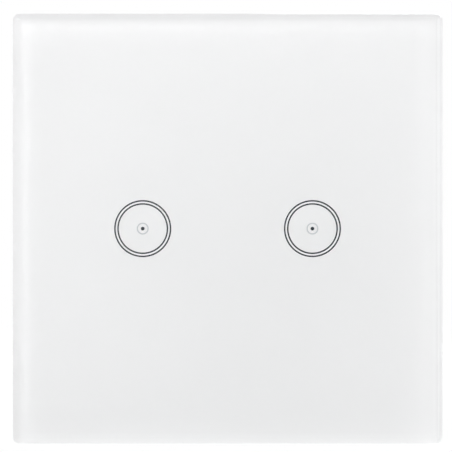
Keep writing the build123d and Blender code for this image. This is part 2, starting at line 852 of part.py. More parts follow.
# Relays: base, magnet, contacts and cover, the same in both
with BuildPart() as relay_bases:
    with BuildSketch(above_board(0)):
        with Locations(*relay_places):
            Rectangle(relay_length, relay_width)
    extrude(amount=-relay_flange_thickness)
    with BuildSketch(above_board(relay_flange_thickness)):
        with Locations(*relay_places):
            Rectangle(relay_length - 2 * relay_wall - 2 * contact_gap,
                      relay_width - 2 * relay_wall - 2 * contact_gap)
    extrude(amount=relay_flange_thickness - relay_base_thickness)
    with BuildSketch(above_board(0)):
        with Locations(*coil_leads):
            Circle(lead_radius + contact_gap)
        with Locations(*flat_leads):
            Rectangle(contact_strip_thickness + 2 * contact_gap, flat_pin_width + 2 * contact_gap)
    extrude(amount=-relay_base_thickness, mode=Mode.SUBTRACT)
save(relay_bases, "relay_bases")

with BuildPart() as relay_yokes:
    with BuildSketch(above_board(relay_base_thickness)):
        with Locations(*[(x + yoke_outer, z) for x, z in relay_places]):
            Rectangle(yoke_foot_length, yoke_width, align=(Align.MIN, Align.CENTER))
    extrude(amount=-yoke_thickness)
    with BuildSketch(above_board(relay_base_thickness)):
        with Locations(*[(x + yoke_outer, z) for x, z in relay_places]):
            Rectangle(yoke_thickness, yoke_width, align=(Align.MIN, Align.CENTER))
    extrude(amount=relay_base_thickness - yoke_top)
    with BuildSketch(above_board(relay_base_thickness)):
        with Locations(*[(x + yoke_pin_place, z) for x, z in relay_places]):
            Rectangle(contact_strip_thickness, flat_pin_width)
    extrude(amount=relay_base_thickness + lead_end - power_board_back)
save(relay_yokes, "relay_yokes")

with BuildPart() as relay_bobbins:
    for flange_rise in (bobbin_foot, bobbin_top - bobbin_flange):
        with BuildSketch(above_board(flange_rise)):
            with Locations(*[(x + coil_place, z) for x, z in relay_places]):
                Rectangle(bobbin_size, bobbin_size)
        extrude(amount=-bobbin_flange)
    with BuildSketch(above_board(bobbin_foot)):
        with Locations(*[(x + coil_place, z) for x, z in relay_places]):
            Circle(bobbin_tube_radius)
    extrude(amount=-bobbin_rise)
    with BuildSketch(above_board(bobbin_foot)):
        with Locations(*[(x + coil_place, z) for x, z in relay_places]):
            Circle(core_radius + contact_gap)
    extrude(amount=-bobbin_rise, mode=Mode.SUBTRACT)
save(relay_bobbins, "relay_bobbins")

with BuildPart() as relay_coils:
    with BuildSketch(above_board(bobbin_foot + bobbin_flange)):
        with Locations(*[(x + coil_place, z) for x, z in relay_places]):
            Circle(coil_radius)
            Circle(bobbin_tube_radius, mode=Mode.SUBTRACT)
    extrude(amount=2 * bobbin_flange - bobbin_rise)
save(relay_coils, "relay_coils")

with BuildPart() as relay_cores:
    with BuildSketch(above_board(bobbin_foot)):
        with Locations(*[(x + coil_place, z) for x, z in relay_places]):
            Circle(core_radius)
    extrude(amount=-bobbin_rise)
    with BuildSketch(above_board(bobbin_top)):
        with Locations(*[(x + coil_place, z) for x, z in relay_places]):
            Circle(core_head_radius)
    extrude(amount=-core_head_thickness)
save(relay_cores, "relay_cores")

# Return spring of each relay: a leaf up the back of the yoke with a lip over the armature
lip_rise = armature_rise + armature_thickness + leaf_thickness + hinge_gap
with BuildPart() as relay_springs:
    with BuildSketch(above_board(relay_base_thickness + spring_leaf_foot)):
        with Locations(*[(x + yoke_outer, z) for x, z in relay_places]):
            Rectangle(spring_leaf_thickness, leaf_width, align=(Align.MAX, Align.CENTER))
    extrude(amount=relay_base_thickness + spring_leaf_foot - lip_rise - spring_leaf_thickness)
    with BuildSketch(above_board(lip_rise)):
        with Locations(*[(x + yoke_outer, z) for x, z in relay_places]):
            Rectangle(spring_leaf_lip, leaf_width, align=(Align.MIN, Align.CENTER))
    extrude(amount=-spring_leaf_thickness)
save(relay_springs, "relay_springs")

with BuildPart() as relay_terminals:
    add_leads(coil_leads, bobbin_foot)
    with BuildSketch(above_board(relay_base_thickness)):
        with Locations(*[(x + strip_inner, z) for x, z in relay_places]):
            Rectangle(contact_strip_thickness, contact_strip_width, align=(Align.MIN, Align.CENTER))
    extrude(amount=relay_base_thickness - strip_rise)
    with BuildSketch(above_board(strip_rise - contact_strip_thickness)):
        with Locations(*[(x + strip_outer, z) for x, z in relay_places]):
            Rectangle(strip_outer - contact_place + contact_radius, contact_strip_width,
                      align=(Align.MAX, Align.CENTER))
    extrude(amount=-contact_strip_thickness)
    with BuildSketch(above_board(strip_rise)):
        with Locations(*[(x + contact_place, z) for x, z in relay_places]):
            Circle(contact_radius)
    extrude(amount=-fixed_contact_thickness)
    with BuildSketch(above_board(relay_base_thickness)):
        with Locations(*[(x + strip_pin_place, z) for x, z in relay_places]):
            Rectangle(contact_strip_thickness, flat_pin_width)
    extrude(amount=relay_base_thickness + lead_end - power_board_back)
save(relay_terminals, "relay_terminals")

with BuildPart() as relay_covers:
    with BuildSketch(above_board(relay_flange_thickness)):
        with Locations(*relay_places):
            Rectangle(relay_length, relay_width)
    extrude(amount=relay_flange_thickness - relay_rise)
    with BuildSketch(above_board(relay_flange_thickness)):
        with Locations(*relay_places):
            Rectangle(relay_length - 2 * relay_wall, relay_width - 2 * relay_wall)
    extrude(amount=relay_flange_thickness - relay_rise + relay_wall, mode=Mode.SUBTRACT)
save(relay_covers, "relay_covers")

# Armature of each relay: an iron plate on the yoke's edge, with the contact arm on it
armature_end = coil_place + core_head_radius + armature_overhang
for side, (x, z) in zip(("left", "right"), relay_places):
    with BuildPart() as relay_armature:
        with BuildSketch(above_board(armature_rise)):
            with Locations((x + yoke_outer + slide_gap, z)):
                Rectangle(armature_end - yoke_outer - slide_gap, yoke_width - 2 * slide_gap,
                          align=(Align.MIN, Align.CENTER))
        extrude(amount=-armature_thickness)
        with BuildSketch(above_board(armature_rise + armature_thickness)):
            with Locations((x + yoke_inner, z)):
                Rectangle(contact_place + contact_radius - yoke_inner, leaf_width,
                          align=(Align.MIN, Align.CENTER))
        extrude(amount=-leaf_thickness)
        with BuildSketch(above_board(moving_contact_rise)):
            with Locations((x + contact_place, z)):
                Circle(contact_radius)
        extrude(amount=-contact_thickness)
    save(relay_armature, f"relay_armature_{side}")

# Terminal block: a shaft for the cage and the screw of each pole, open to the wire and the bar
with BuildPart() as terminal_block:
    with BuildSketch(face_plane(terminal_end)):
        with Locations((0, terminal_front)):
            Rectangle(terminal_width, terminal_back - terminal_front, align=(Align.CENTER, Align.MIN))
    extrude(amount=power_board_back - terminal_end)
    with BuildSketch(face_plane(power_board_back - terminal_floor)):
        with Locations(*[(x, terminal_height) for x in pole_places]):
            Rectangle(cage_width + 2 * slide_gap, shaft_back - shaft_front)
    extrude(amount=screw_head_front + slide_gap - power_board_back + terminal_floor,
            mode=Mode.SUBTRACT)
    with BuildSketch(face_plane(terminal_end)):
        with Locations(*[(x, terminal_height) for x in pole_places]):
            Circle(screw_head_radius + slide_gap)
    extrude(amount=screw_head_front + slide_gap - terminal_end, mode=Mode.SUBTRACT)
    # Wire entries with a wider mouth, sketched on the lower face with the height downwards
    with BuildSketch(Plane.XY.offset(terminal_front)):
        with Locations(*[(x, -wire_middle) for x in pole_places]):
            Rectangle(wire_width, wire_room)
    extrude(amount=shaft_front - terminal_front, mode=Mode.SUBTRACT)
    with BuildSketch(Plane.XY.offset(terminal_front)):
        with Locations(*[(x, -wire_middle) for x in pole_places]):
            Rectangle(wire_width + 2 * wire_funnel, wire_room + 2 * wire_funnel)
    extrude(amount=wire_funnel, mode=Mode.SUBTRACT)
    # Seats of the current bars, before and behind the shafts
    with BuildSketch(face_plane(bar_back - contact_gap)):
        with Locations(*[(x, shaft_front - bar_thickness / 2) for x in pole_places]):
            Rectangle(bar_width + 2 * contact_gap, bar_thickness, align=(Align.CENTER, Align.MIN))
    extrude(amount=bar_thickness + 2 * contact_gap, mode=Mode.SUBTRACT)
    with BuildSketch(face_plane(bar_back - contact_gap)):
        with Locations(*[(x, shaft_back) for x in pole_places]):
            Rectangle(bar_width + 2 * contact_gap, terminal_back_wall, align=(Align.CENTER, Align.MIN))
    extrude(amount=power_board_back - bar_back + contact_gap, mode=Mode.SUBTRACT)
save(terminal_block, "terminal_block")

# Current bars: flat over the wire, then down to the board, with a pin through it
with BuildPart() as terminal_bars:
    bar_start = shaft_front - bar_thickness / 2 + contact_gap
    bar_end = bar_pin_height + bar_thickness / 2
    with BuildSketch(face_plane(bar_back)):
        with Locations(*[(x, bar_start) for x in pole_places]):
            Rectangle(bar_width, bar_end - bar_start, align=(Align.CENTER, Align.MIN))
    extrude(amount=bar_thickness)
    with BuildSketch(face_plane(bar_back)):
        with Locations(*bar_pins):
            Rectangle(bar_width, bar_thickness)
    extrude(amount=power_board_back - bar_back)
    with BuildSketch(face_plane(power_board_back)):
        with Locations(*bar_pins):
            Rectangle(bar_pin_width, bar_thickness)
    extrude(amount=lead_end - power_board_back)
save(terminal_bars, "terminal_bars")

for number, x in enumerate(pole_places, start=1):
    with BuildPart() as terminal_screw:
        with BuildSketch(face_plane(screw_head_back)):
            with Locations((x, terminal_height)):
                Circle(screw_head_radius)
        extrude(amount=screw_head_height)
        with BuildSketch(face_plane(screw_head_front)):
            with Locations((x, terminal_height)):
                Circle(terminal_screw_radius)
        extrude(amount=screw_tip - screw_head_front)
        with BuildSketch(face_plane(screw_head_back)):
            with Locations((x, terminal_height)):
                Rectangle(2 * screw_head_radius, screw_slot_width)
                Rectangle(screw_slot_width, screw_head_radius)
        extrude(amount=screw_slot_depth, mode=Mode.SUBTRACT)
    save(terminal_screw, f"terminal_screw_{number}")

    with BuildPart() as terminal_cage:
        with BuildSketch(face_plane(cage_back)):
            with Locations((x, terminal_height)):
                Rectangle(cage_width, cage_length)
        extrude(amount=cage_front - cage_back)
        with BuildSketch(face_plane(cage_back + cage_top)):
            with Locations((x, terminal_height)):
                Rectangle(wire_width, cage_length)
        extrude(amount=cage_front - cage_back - cage_top - cage_floor, mode=Mode.SUBTRACT)
        with BuildSketch(face_plane(cage_back)):
            with Locations((x, terminal_height)):
                Circle(terminal_screw_radius + contact_gap)
        extrude(amount=cage_top, mode=Mode.SUBTRACT)
    save(terminal_cage, f"terminal_cage_{number}")

# Box shaped parts on their leads
for name, place, size, leads in (
        ("film_capacitor", film_capacitor_place, film_capacitor_size, film_capacitor_leads),
        ("fuse", fuse_place, fuse_size, fuse_leads)):
    width, depth, rise = size
    with BuildPart() as boxed_part:
        with BuildSketch(above_board(0)):
            with Locations(place):
                RectangleRounded(width, depth, boxed_part_radius)
        extrude(amount=-rise)
        fillet(boxed_part.faces().sort_by(Axis.Y)[-1].edges(), radius=boxed_part_radius)
        add_leads(lead_pair(place, leads))
    save(boxed_part, name)

# Round cans with a neck rolled in near the foot
for name, place, radius, rise, leads in (
        ("main_capacitor", main_capacitor_place, main_capacitor_radius, main_capacitor_rise,
         main_capacitor_leads),
        ("output_capacitor", output_capacitor_place, output_capacitor_radius, output_capacitor_rise,
         output_capacitor_leads)):
    with BuildPart() as capacitor:
        with BuildSketch(above_board(0)):
            with Locations(place):
                Circle(radius)
        extrude(amount=-rise)
        fillet(capacitor.faces().sort_by(Axis.Y)[-1].edges(), radius=capacitor_neck)
        with BuildSketch(above_board(capacitor_neck_rise)):
            with Locations(place):
                Circle(radius)
                Circle(radius - capacitor_neck, mode=Mode.SUBTRACT)
        extrude(amount=-capacitor_neck_width, mode=Mode.SUBTRACT)
        add_leads(lead_pair(place, leads))
    save(capacitor, name)

with BuildPart() as inductor:
    with BuildSketch(above_board(0)):
        with Locations(inductor_place):
            Circle(inductor_radius)
    extrude(amount=-inductor_rise)
    fillet(inductor.faces().sort_by(Axis.Y)[-1].edges(), radius=boxed_part_radius)
    add_leads(lead_pair(inductor_place, inductor_leads))
save(inductor, "inductor")

# Varistor: a disc on edge, held off the board by its leads
varistor_x, varistor_z = varistor_place
with BuildPart() as varistor:
    with BuildSketch(Plane.XY.offset(varistor_z - varistor_thickness / 2)):
        with Locations((varistor_x, varistor_radius - power_board_back)):
            Circle(varistor_radius)
    extrude(amount=varistor_thickness)
    fillet(varistor.edges().filter_by(GeomType.CIRCLE), radius=varistor_edge_radius)
    add_leads(lead_pair(varistor_place, varistor_leads), varistor_radius)
save(varistor, "varistor")

# Bridge rectifier: flat on the room side of the power board, between the pins of the relays
bridge_width, bridge_depth, bridge_rise = bridge_size
with BuildPart() as bridge_rectifier:
    with BuildSketch(face_plane(power_board_front)):
        with Locations(bridge_place):
            Rectangle(bridge_width, bridge_depth)
    extrude(amount=bridge_rise)
    with BuildSketch(face_plane(power_board_front)):
        with Locations(bridge_place):
            with GridLocations(bridge_lead_pitch, bridge_depth + bridge_lead_reach, 2, 2):
                Rectangle(2 * lead_radius, bridge_lead_reach)
    extrude(amount=lead_radius)
save(bridge_rectifier, "bridge_rectifier")

# Transformer: two facing cores shaped like an E, a bobbin between pin rails, and its winding
window_foot = transformer_lift + transformer_leg
window_top = window_foot + transformer_window_rise
window_width = transformer_width - 2 * transformer_leg
core_side = Plane.XY.offset(transformer_z - transformer_core_depth / 2)
with BuildPart() as transformer_core:
    half_rise = transformer_leg + transformer_window_rise / 2
    for foot, window_edge in ((transformer_lift, window_foot),
                              (transformer_lift + half_rise, window_foot + transformer_window_rise / 2)):
        with BuildSketch(core_side):
            with Locations((transformer_x, foot - power_board_back)):
                Rectangle(transformer_width, half_rise, align=(Align.CENTER, Align.MIN))
            with Locations((transformer_x, window_foot - power_board_back)):
                Rectangle(window_width, transformer_window_rise, align=(Align.CENTER, Align.MIN),
                          mode=Mode.SUBTRACT)
            with Locations((transformer_x, window_edge - power_board_back)):
                Rectangle(transformer_centre_leg, transformer_window_rise / 2 - contact_gap,
                          align=(Align.CENTER, Align.MIN))
        extrude(amount=transformer_core_depth)
save(transformer_core, "transformer_core")

with BuildPart() as transformer_bobbin:
    rail_inner = transformer_core_depth / 2 + contact_gap
    rail_width = transformer_base_depth / 2 - rail_inner
    with BuildSketch(above_board(0)):
        for side in (-1, 1):
            with Locations((transformer_x, transformer_z + side * (rail_inner + rail_width / 2))):
                Rectangle(transformer_width, rail_width)
    extrude(amount=-window_foot - transformer_bobbin_wall)
    for rise in (window_foot, window_top - transformer_bobbin_wall):
        with BuildSketch(above_board(rise)):
            with Locations(transformer_place):
                Rectangle(window_width - 2 * contact_gap,
                          transformer_winding_depth + 2 * transformer_bobbin_wall)
                Rectangle(transformer_centre_leg + 2 * contact_gap,
                          transformer_core_depth + 2 * contact_gap, mode=Mode.SUBTRACT)
        extrude(amount=-transformer_bobbin_wall)
    with BuildSketch(above_board(window_foot)):
        with Locations(transformer_place):
            Rectangle(transformer_centre_leg + 2 * transformer_bobbin_wall,
                      transformer_core_depth + 2 * transformer_bobbin_wall)
            Rectangle(transformer_centre_leg + 2 * contact_gap,
                      transformer_core_depth + 2 * contact_gap, mode=Mode.SUBTRACT)
    extrude(amount=-transformer_window_rise)
    with BuildSketch(above_board(0)):
        with Locations(*transformer_leads):
            Circle(lead_radius)
    extrude(amount=-lead_tail, mode=Mode.SUBTRACT)
save(transformer_bobbin, "transformer_bobbin")

with BuildPart() as transformer_pins:
    add_leads(transformer_leads, lead_tail)
save(transformer_pins, "transformer_pins")

with BuildPart() as transformer_winding:
    with BuildSketch(above_board(window_foot + transformer_bobbin_wall)):
        with Locations(transformer_place):
            RectangleRounded(window_width - 2 * fit_gap, transformer_winding_depth,
                             transformer_winding_radius)
            Rectangle(transformer_centre_leg + 2 * transformer_bobbin_wall,
                      transformer_core_depth + 2 * transformer_bobbin_wall, mode=Mode.SUBTRACT)
    extrude(amount=2 * transformer_bobbin_wall - transformer_window_rise)
save(transformer_winding, "transformer_winding")
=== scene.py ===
import json
import math

import bmesh
import bpy
from mathutils import Matrix, Vector


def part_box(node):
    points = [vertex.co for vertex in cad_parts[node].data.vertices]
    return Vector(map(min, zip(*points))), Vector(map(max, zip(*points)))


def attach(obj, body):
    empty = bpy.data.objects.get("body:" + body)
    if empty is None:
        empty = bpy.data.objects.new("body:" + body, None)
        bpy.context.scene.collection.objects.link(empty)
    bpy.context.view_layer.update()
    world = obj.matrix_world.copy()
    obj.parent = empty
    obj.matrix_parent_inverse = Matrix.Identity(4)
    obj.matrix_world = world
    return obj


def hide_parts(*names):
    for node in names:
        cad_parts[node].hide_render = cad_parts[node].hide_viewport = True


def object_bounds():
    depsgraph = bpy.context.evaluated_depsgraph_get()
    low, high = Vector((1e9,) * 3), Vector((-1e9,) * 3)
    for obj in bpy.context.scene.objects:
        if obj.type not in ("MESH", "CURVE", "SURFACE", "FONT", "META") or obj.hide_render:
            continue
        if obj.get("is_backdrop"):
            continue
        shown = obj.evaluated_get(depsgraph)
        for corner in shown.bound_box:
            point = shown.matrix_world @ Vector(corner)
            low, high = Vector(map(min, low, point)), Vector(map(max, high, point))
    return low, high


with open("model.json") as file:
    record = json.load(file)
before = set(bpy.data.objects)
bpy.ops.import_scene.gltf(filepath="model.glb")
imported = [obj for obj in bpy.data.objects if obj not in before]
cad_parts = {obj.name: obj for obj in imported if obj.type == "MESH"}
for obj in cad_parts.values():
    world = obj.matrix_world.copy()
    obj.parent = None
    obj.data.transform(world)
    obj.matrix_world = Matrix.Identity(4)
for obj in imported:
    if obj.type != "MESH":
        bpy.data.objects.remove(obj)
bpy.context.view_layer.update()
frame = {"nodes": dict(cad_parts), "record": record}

bl_info = {
    "name": "Touch light switch",
    "version": (1, 0, 0),
    "blender": (4, 5, 0),
    "location": "View3D > Sidebar > Light switch",
    "description": "Dresses a two gang touch light switch and sets up its studio",
    "category": "Object",
}

MM = 0.001
BASE = "base"
PANEL = "front_panel"
BODIES = {node: body for body, nodes in frame["record"]["behaviour"]["bodies"].items()
          for node in nodes}
SIDES = ("left", "right")
TERMINALS = range(1, 5)

# On the boards: how far a touch field is from the middle of the switch, the end of a small
# ceramic chip from its own middle and the touch chip's leads from each other, and how high
# printed outlines stand
FIELD = 17 * MM
CHIP_END = 0.8 * MM
LEAD_PITCH = 1.27 * MM
INK_HEIGHT = 0.02 * MM

# Turns that bring lines drawn flat to a face above or below, in front or behind, or at a side
LEVEL = (0, 0, 0)
UPRIGHT = (math.pi / 2, 0, 0)
SIDEWAYS = (0, math.pi / 2, 0)

# Edges sharper than the first angle are rounded, and those sharper than the second stay crisp
ROUNDED_ANGLE = math.radians(50)
CRISP_ANGLE = math.radians(34)

TIN = (0.74, 0.74, 0.73)
BLACK = (0.02, 0.02, 0.021)
CHIP_BLACK = (0.022, 0.022, 0.024)


# Sizes and colours that a user would change

def length_property(name, description, millimetres, low=0, precision=5):
    """A length, written here in millimetres and kept in metres."""
    return bpy.props.FloatProperty(
        name=name, description=description, default=millimetres * MM, min=low * MM,
        unit="LENGTH", precision=precision)


def number_property(name, description, default, low=0, high=1000):
    """A number with no unit of Blender's own."""
    return bpy.props.FloatProperty(
        name=name, description=description, default=default, min=low, max=high)


def colour_property(name, description, default):
    """A colour as red, green and blue."""
    return bpy.props.FloatVectorProperty(
        name=name, description=description, default=default, subtype="COLOR")


class GlassSettings(bpy.types.PropertyGroup):
    """The glass sheet and the marks behind it."""
    edge_width: length_property(
        "Edge width", "How far the rounded front edge reaches in over the face", 1.75)
    edge_depth: length_property(
        "Edge depth", "How far the rounded front edge reaches down the side", 1.3)
    back_chamfer: length_property(
        "Back chamfer", "Width of the ground chamfer at the back of the glass", 0.3)
    corner_radius: length_property(
        "Corner radius", "Radius of the four corners of the glass", 1.4)
    print_colour: colour_property(
        "Print", "White ink behind the glass", (0.940, 0.923, 0.930))
    # Painted light: the print's colour is made lighter along the rim of the glass, for light that
    # comes in by the glass edge
    painted_rim_light: number_property(
        "Painted rim light", "How much lighter the print is under the edge of the glass", 0.031,
        high=0.05)
    painted_rim_width: length_property(
        "Painted rim width", "How far in from the glass edge the print is lighter", 9)
    line_colour: colour_property(
        "Ring lines", "Dark ink of the rings and dots", (0.012, 0.016, 0.024))
    halo_colour: colour_property(
        "Pale circles", "Grey ink of the circle round each dot", (0.62, 0.63, 0.65))


class PlasticSettings(bpy.types.PropertyGroup):
    """Moulded parts."""
    white: colour_property("White", "Panel frame and base", (0.80, 0.80, 0.79))
    box: colour_property("Box", "Box in the wall", (0.74, 0.74, 0.73))
    edge_radius: length_property("Edge radius", "Rounding of moulded edges", 0.25)
    rib_width: length_property("Rib width", "Width of the guide ribs on the box", 1.2)
    rib_height: length_property(
        "Rib height", "How far ribs and collars stand out from the box", 0.3)
    cover: colour_property("Relay cover", "Relay covers", (0.03, 0.13, 0.36))
    terminal: colour_property("Terminal block", "Terminal block", (0.05, 0.26, 0.11))


class BoardSettings(bpy.types.PropertyGroup):
    """Circuit boards and what is printed and soldered on them."""
    touch_mask: colour_property(
        "Touch board", "Solder mask of the touch board", (0.016, 0.018, 0.02))
    power_mask: colour_property(
        "Power board", "Solder mask of the power board", (0.012, 0.12, 0.035))
    radio_mask: colour_property(
        "Radio board", "Solder mask of the radio board", (0.01, 0.03, 0.12))
    outline_ink: colour_property(
        "Outlines", "Ink of the outlines round the parts", (0.75, 0.75, 0.73))
    track_width: length_property("Track width", "Width of a signal track", 0.3)
    power_width: length_property(
        "Power track width", "Width of a track that carries the load", 2.2)
    track_height: length_property(
        "Track height", "How far a track lifts the mask", 0.035, precision=6)
    outline_width: length_property("Outline width", "Width of the printed outlines", 0.18)


class WireSettings(bpy.types.PropertyGroup):
    """Windings and threads."""
    coil_wire: length_property("Coil wire", "Thickness of a turn on the relay coils", 0.24)
    thread_pitch: length_property(
        "Thread pitch", "Rise of the terminal screws for each turn", 0.5)
    thread_depth: length_property(
        "Thread depth", "Depth of the thread of the terminal screws", 0.18)


class StageSettings(bpy.types.PropertyGroup):
    """Camera, floor and lamps."""
    lens: number_property("Lens", "Focal length in millimetres", 200, low=1)
    view_width: length_property("View width", "Width seen at the front of the glass", 90.2)
    aim_right: length_property(
        "Aim right", "How far the view's middle lies right of the switch", -0.32, low=-100)
    aim_up: length_property(
        "Aim up", "How far the view's middle lies above the switch", 0.52, low=-100)
    floor_gap: length_property("Floor gap", "Room between the switch and the floor", 0.05)
    ambient: number_property("Ambient", "Light from all round", 0.7)
    key: number_property("Key lamp", "Power of the lamp at the upper left, in watts", 2.8)
    fill: number_property("Fill lamp", "Power of the lamp at the right, in watts", 0.95)
    back: number_property("Back lamp", "Power of the lamp behind, in watts", 3)


# Node trees

def add_node(tree, kind, values=None, **options):
    """Add a node, set its options, and set or link the inputs that are named in values."""
    made = tree.nodes.new(kind)
    for name, value in options.items():
        setattr(made, name, value)
    for name, value in (values or {}).items():
        if isinstance(value, bpy.types.NodeSocket):
            tree.links.new(value, made.inputs[name])
        else:
            made.inputs[name].default_value = value
    return made


def maths(tree, operation, one, other=0.0):
    """The result of an operation on sockets or numbers."""
    return add_node(tree, "ShaderNodeMath", {0: one, 1: other}, operation=operation).outputs[0]


def vector_maths(tree, operation, one, other=(0, 0, 0)):
    """The node of an operation on vectors; a length or a product is its output Value."""
    return add_node(tree, "ShaderNodeVectorMath", {0: one, 1: other}, operation=operation)


def part_of_place(tree, place, axis):
    """One coordinate of a place."""
    return add_node(tree, "ShaderNodeSeparateXYZ", {0: place}).outputs[axis]


def between(tree, share, low, high):
    """A number between two numbers or sockets."""
    return add_node(tree, "ShaderNodeMix", {0: share, 2: low, 3: high}).outputs[0]


def blended(tree, share, low, high):
    """A colour between two colours of three numbers each, or sockets."""
    low, high = ((*c, 1) if isinstance(c, tuple) else c for c in (low, high))
    return add_node(tree, "ShaderNodeMix", {0: share, 6: low, 7: high},
                    data_type="RGBA").outputs[2]


def ranged(tree, value, start, end, low=0.0, high=1.0, **options):
    """Move a value from the range start to end to the range low to high, and hold it there."""
    return add_node(tree, "ShaderNodeMapRange", {
        "Value": value, "From Min": start, "From Max": end, "To Min": low, "To Max": high,
    }, **options).outputs[0]


def spread(tree, noise, low, high):
    """Move a noise, which lies mostly between 0.3 and 0.7, to the range low to high."""
    return ranged(tree, noise, 0.3, 0.7, low, high)


def below(tree, place, axis, level):
    """1 where a coordinate is under a level, else 0."""
    return maths(tree, "LESS_THAN", part_of_place(tree, place, axis), level)


def outside(tree, place, axis, middle, half):
    """1 where a coordinate is further from the middle than half, else 0."""
    off = maths(tree, "SUBTRACT", part_of_place(tree, place, axis), middle)
    return maths(tree, "GREATER_THAN", maths(tree, "ABSOLUTE", off), half)


def speckle(tree, place, size, detail=3.0, stretch=(1, 1, 1)):
    """Soft noise between 0 and 1 with spots about this large, in metres."""
    moved = add_node(tree, "ShaderNodeMapping", {"Vector": place, "Scale": stretch})
    return add_node(tree, "ShaderNodeTexNoise", {
        "Vector": moved.outputs[0], "Scale": 1 / size, "Detail": detail}).outputs[0]


def cells(tree, place, size):
    """The distance to the middle of the nearest of many small cells about this large."""
    return add_node(tree, "ShaderNodeTexVoronoi", {
        "Vector": place, "Scale": 1 / size}).outputs["Distance"]


def bands(tree, place, axis, width, distortion, profile="SIN"):
    """Waves along an axis, each this wide, between 0 and 1."""
    # At a scale of 1 the texture's own wave is this many metres wide
    own_width = 0.314
    return add_node(tree, "ShaderNodeTexWave", {
        "Vector": place, "Scale": own_width / width, "Distortion": distortion, "Detail": 1.0,
    }, wave_type="BANDS", bands_direction=axis, wave_profile=profile).outputs[1]


def tinted(tree, noise, colour, change):
    """The colour, darker where the noise is low and lighter where it is high, by this share."""
    low, high = (tuple(min(1, c * (1 + way * change)) for c in colour) for way in (-1, 1))
    return blended(tree, spread(tree, noise, 0, 1), low, high)


def bumped(tree, height, depth, normal=None):
    """The normal of a surface with this height over it, depth in metres from low to high."""
    values = {"Height": height, "Distance": depth, "Strength": 1.0}
    if normal is not None:
        values["Normal"] = normal
    return add_node(tree, "ShaderNodeBump", values).outputs[0]


# Finishes

def start_material(name):
    """A new material with an empty tree, and the place on the piece as a socket."""
    material = bpy.data.materials.new(name)
    material.use_nodes = True
    tree = material.node_tree
    tree.nodes.clear()
    return material, tree, add_node(tree, "ShaderNodeTexCoord").outputs["Object"]


def finished(material, values):
    """The material, closed with a Principled shader that takes these values."""
    tree = material.node_tree
    shader = add_node(tree, "ShaderNodeBsdfPrincipled", values)
    add_node(tree, "ShaderNodeOutputMaterial", {"Surface": shader.outputs[0]})
    return material


def mottled(name, colour, size, detail, change, roughness, depth, more=None):
    """A finish whose colour, gloss and height follow one mottle of spots about this large."""
    material, tree, place = start_material(name)
    mottle = speckle(tree, place, size, detail)
    return finished(material, {
        "Base Color": tinted(tree, mottle, colour, change),
        "Roughness": spread(tree, mottle, *roughness),
        "Normal": bumped(tree, mottle, depth),
        **(more or {})})


def printed_ink(name, colour, roughness=0.5, gloss=0.5):
    """Screen printed ink with a very faint mottle, and the gloss that is given."""
    return mottled(name, colour, size=0.35 * MM, detail=4.0, change=0.006,
                   roughness=(roughness - 0.04, roughness + 0.04), depth=0.0004 * MM,
                   more={"Specular IOR Level": gloss})


def fired_ceramic(name, colour):
    """Sandy fired ceramic."""
    return mottled(name, colour, size=0.08 * MM, detail=4.0, change=0.12,
                   roughness=(0.4, 0.6), depth=0.004 * MM)


def solder_metal(name):
    """Bright soft solder with a dull skin in places."""
    return mottled(name, (0.70, 0.71, 0.72), size=0.3 * MM, detail=5.0, change=0.1,
                   roughness=(0.12, 0.36), depth=0.008 * MM, more={"Metallic": 1.0})


def enamelled_copper(name):
    """Copper wire under clear enamel, a little darker in places."""
    return mottled(name, (0.62, 0.20, 0.06), size=0.6 * MM, detail=5.0, change=0.16,
                   roughness=(0.2, 0.38), depth=0.004 * MM,
                   more={"Metallic": 0.9, "Coat Weight": 0.5})


def moulded_plastic(name, colour, roughness=0.42, grain=0.12 * MM, depth=0.004 * MM):
    """Moulded plastic: a fine eroded grain, with slow changes of colour and gloss."""
    material, tree, place = start_material(name)
    fine = speckle(tree, place, grain, 2.0)
    slow = speckle(tree, place, 6 * MM, 4.0)
    return finished(material, {
        "Base Color": tinted(tree, slow, colour, 0.025),
        "Roughness": spread(tree, slow, roughness - 0.05, roughness + 0.07),
        "IOR": 1.5,
        "Normal": bumped(tree, fine, depth)})


def plated_metal(name, colour, roughness=0.3, cloud=1.6 * MM, scratch=0.09 * MM,
                 depth=0.002 * MM, along=(0.06, 1, 1)):
    """Plated sheet or bar metal: blotches of tone, and fine marks drawn out along one way."""
    material, tree, place = start_material(name)
    blotch = speckle(tree, place, cloud, 5.0)
    marks = speckle(tree, place, scratch, 3.0, along)
    return finished(material, {
        "Base Color": tinted(tree, blotch, colour, 0.10),
        "Metallic": 1.0,
        "Roughness": spread(tree, blotch, roughness - 0.08, roughness + 0.1),
        "Normal": bumped(tree, marks, depth)})


def circuit_board(name, colour):
    """Glossy solder mask with the weave of the glass fibre just showing through."""
    material, tree, place = start_material(name)
    weave = maths(tree, "MULTIPLY", *(bands(tree, place, axis, 0.45 * MM, 0.6)
                                      for axis in ("X", "Z")))
    cloud = speckle(tree, place, 5 * MM, 4.0)
    lit = tuple(min(1, c * 1.5 + 0.006) for c in colour)
    return finished(material, {
        "Base Color": blended(tree, maths(tree, "MULTIPLY", weave, 0.35),
                              tinted(tree, cloud, colour, 0.12), lit),
        "Roughness": spread(tree, cloud, 0.26, 0.36),
        "Coat Weight": 0.25,
        "Normal": bumped(tree, weave, 0.004 * MM)})


def frosted_plastic(name):
    """Clear moulded plastic with a fine matt skin, as on a light guide."""
    material, tree, place = start_material(name)
    skin = speckle(tree, place, 0.07 * MM, 3.0)
    cloud = speckle(tree, place, 1.5 * MM, 3.0)
    return finished(material, {
        "Base Color": tinted(tree, cloud, (0.86, 0.89, 0.9), 0.02),
        "Roughness": spread(tree, cloud, 0.28, 0.42),
        "IOR": 1.49,
        "Transmission Weight": 0.45,
        "Normal": bumped(tree, skin, 0.004 * MM)})


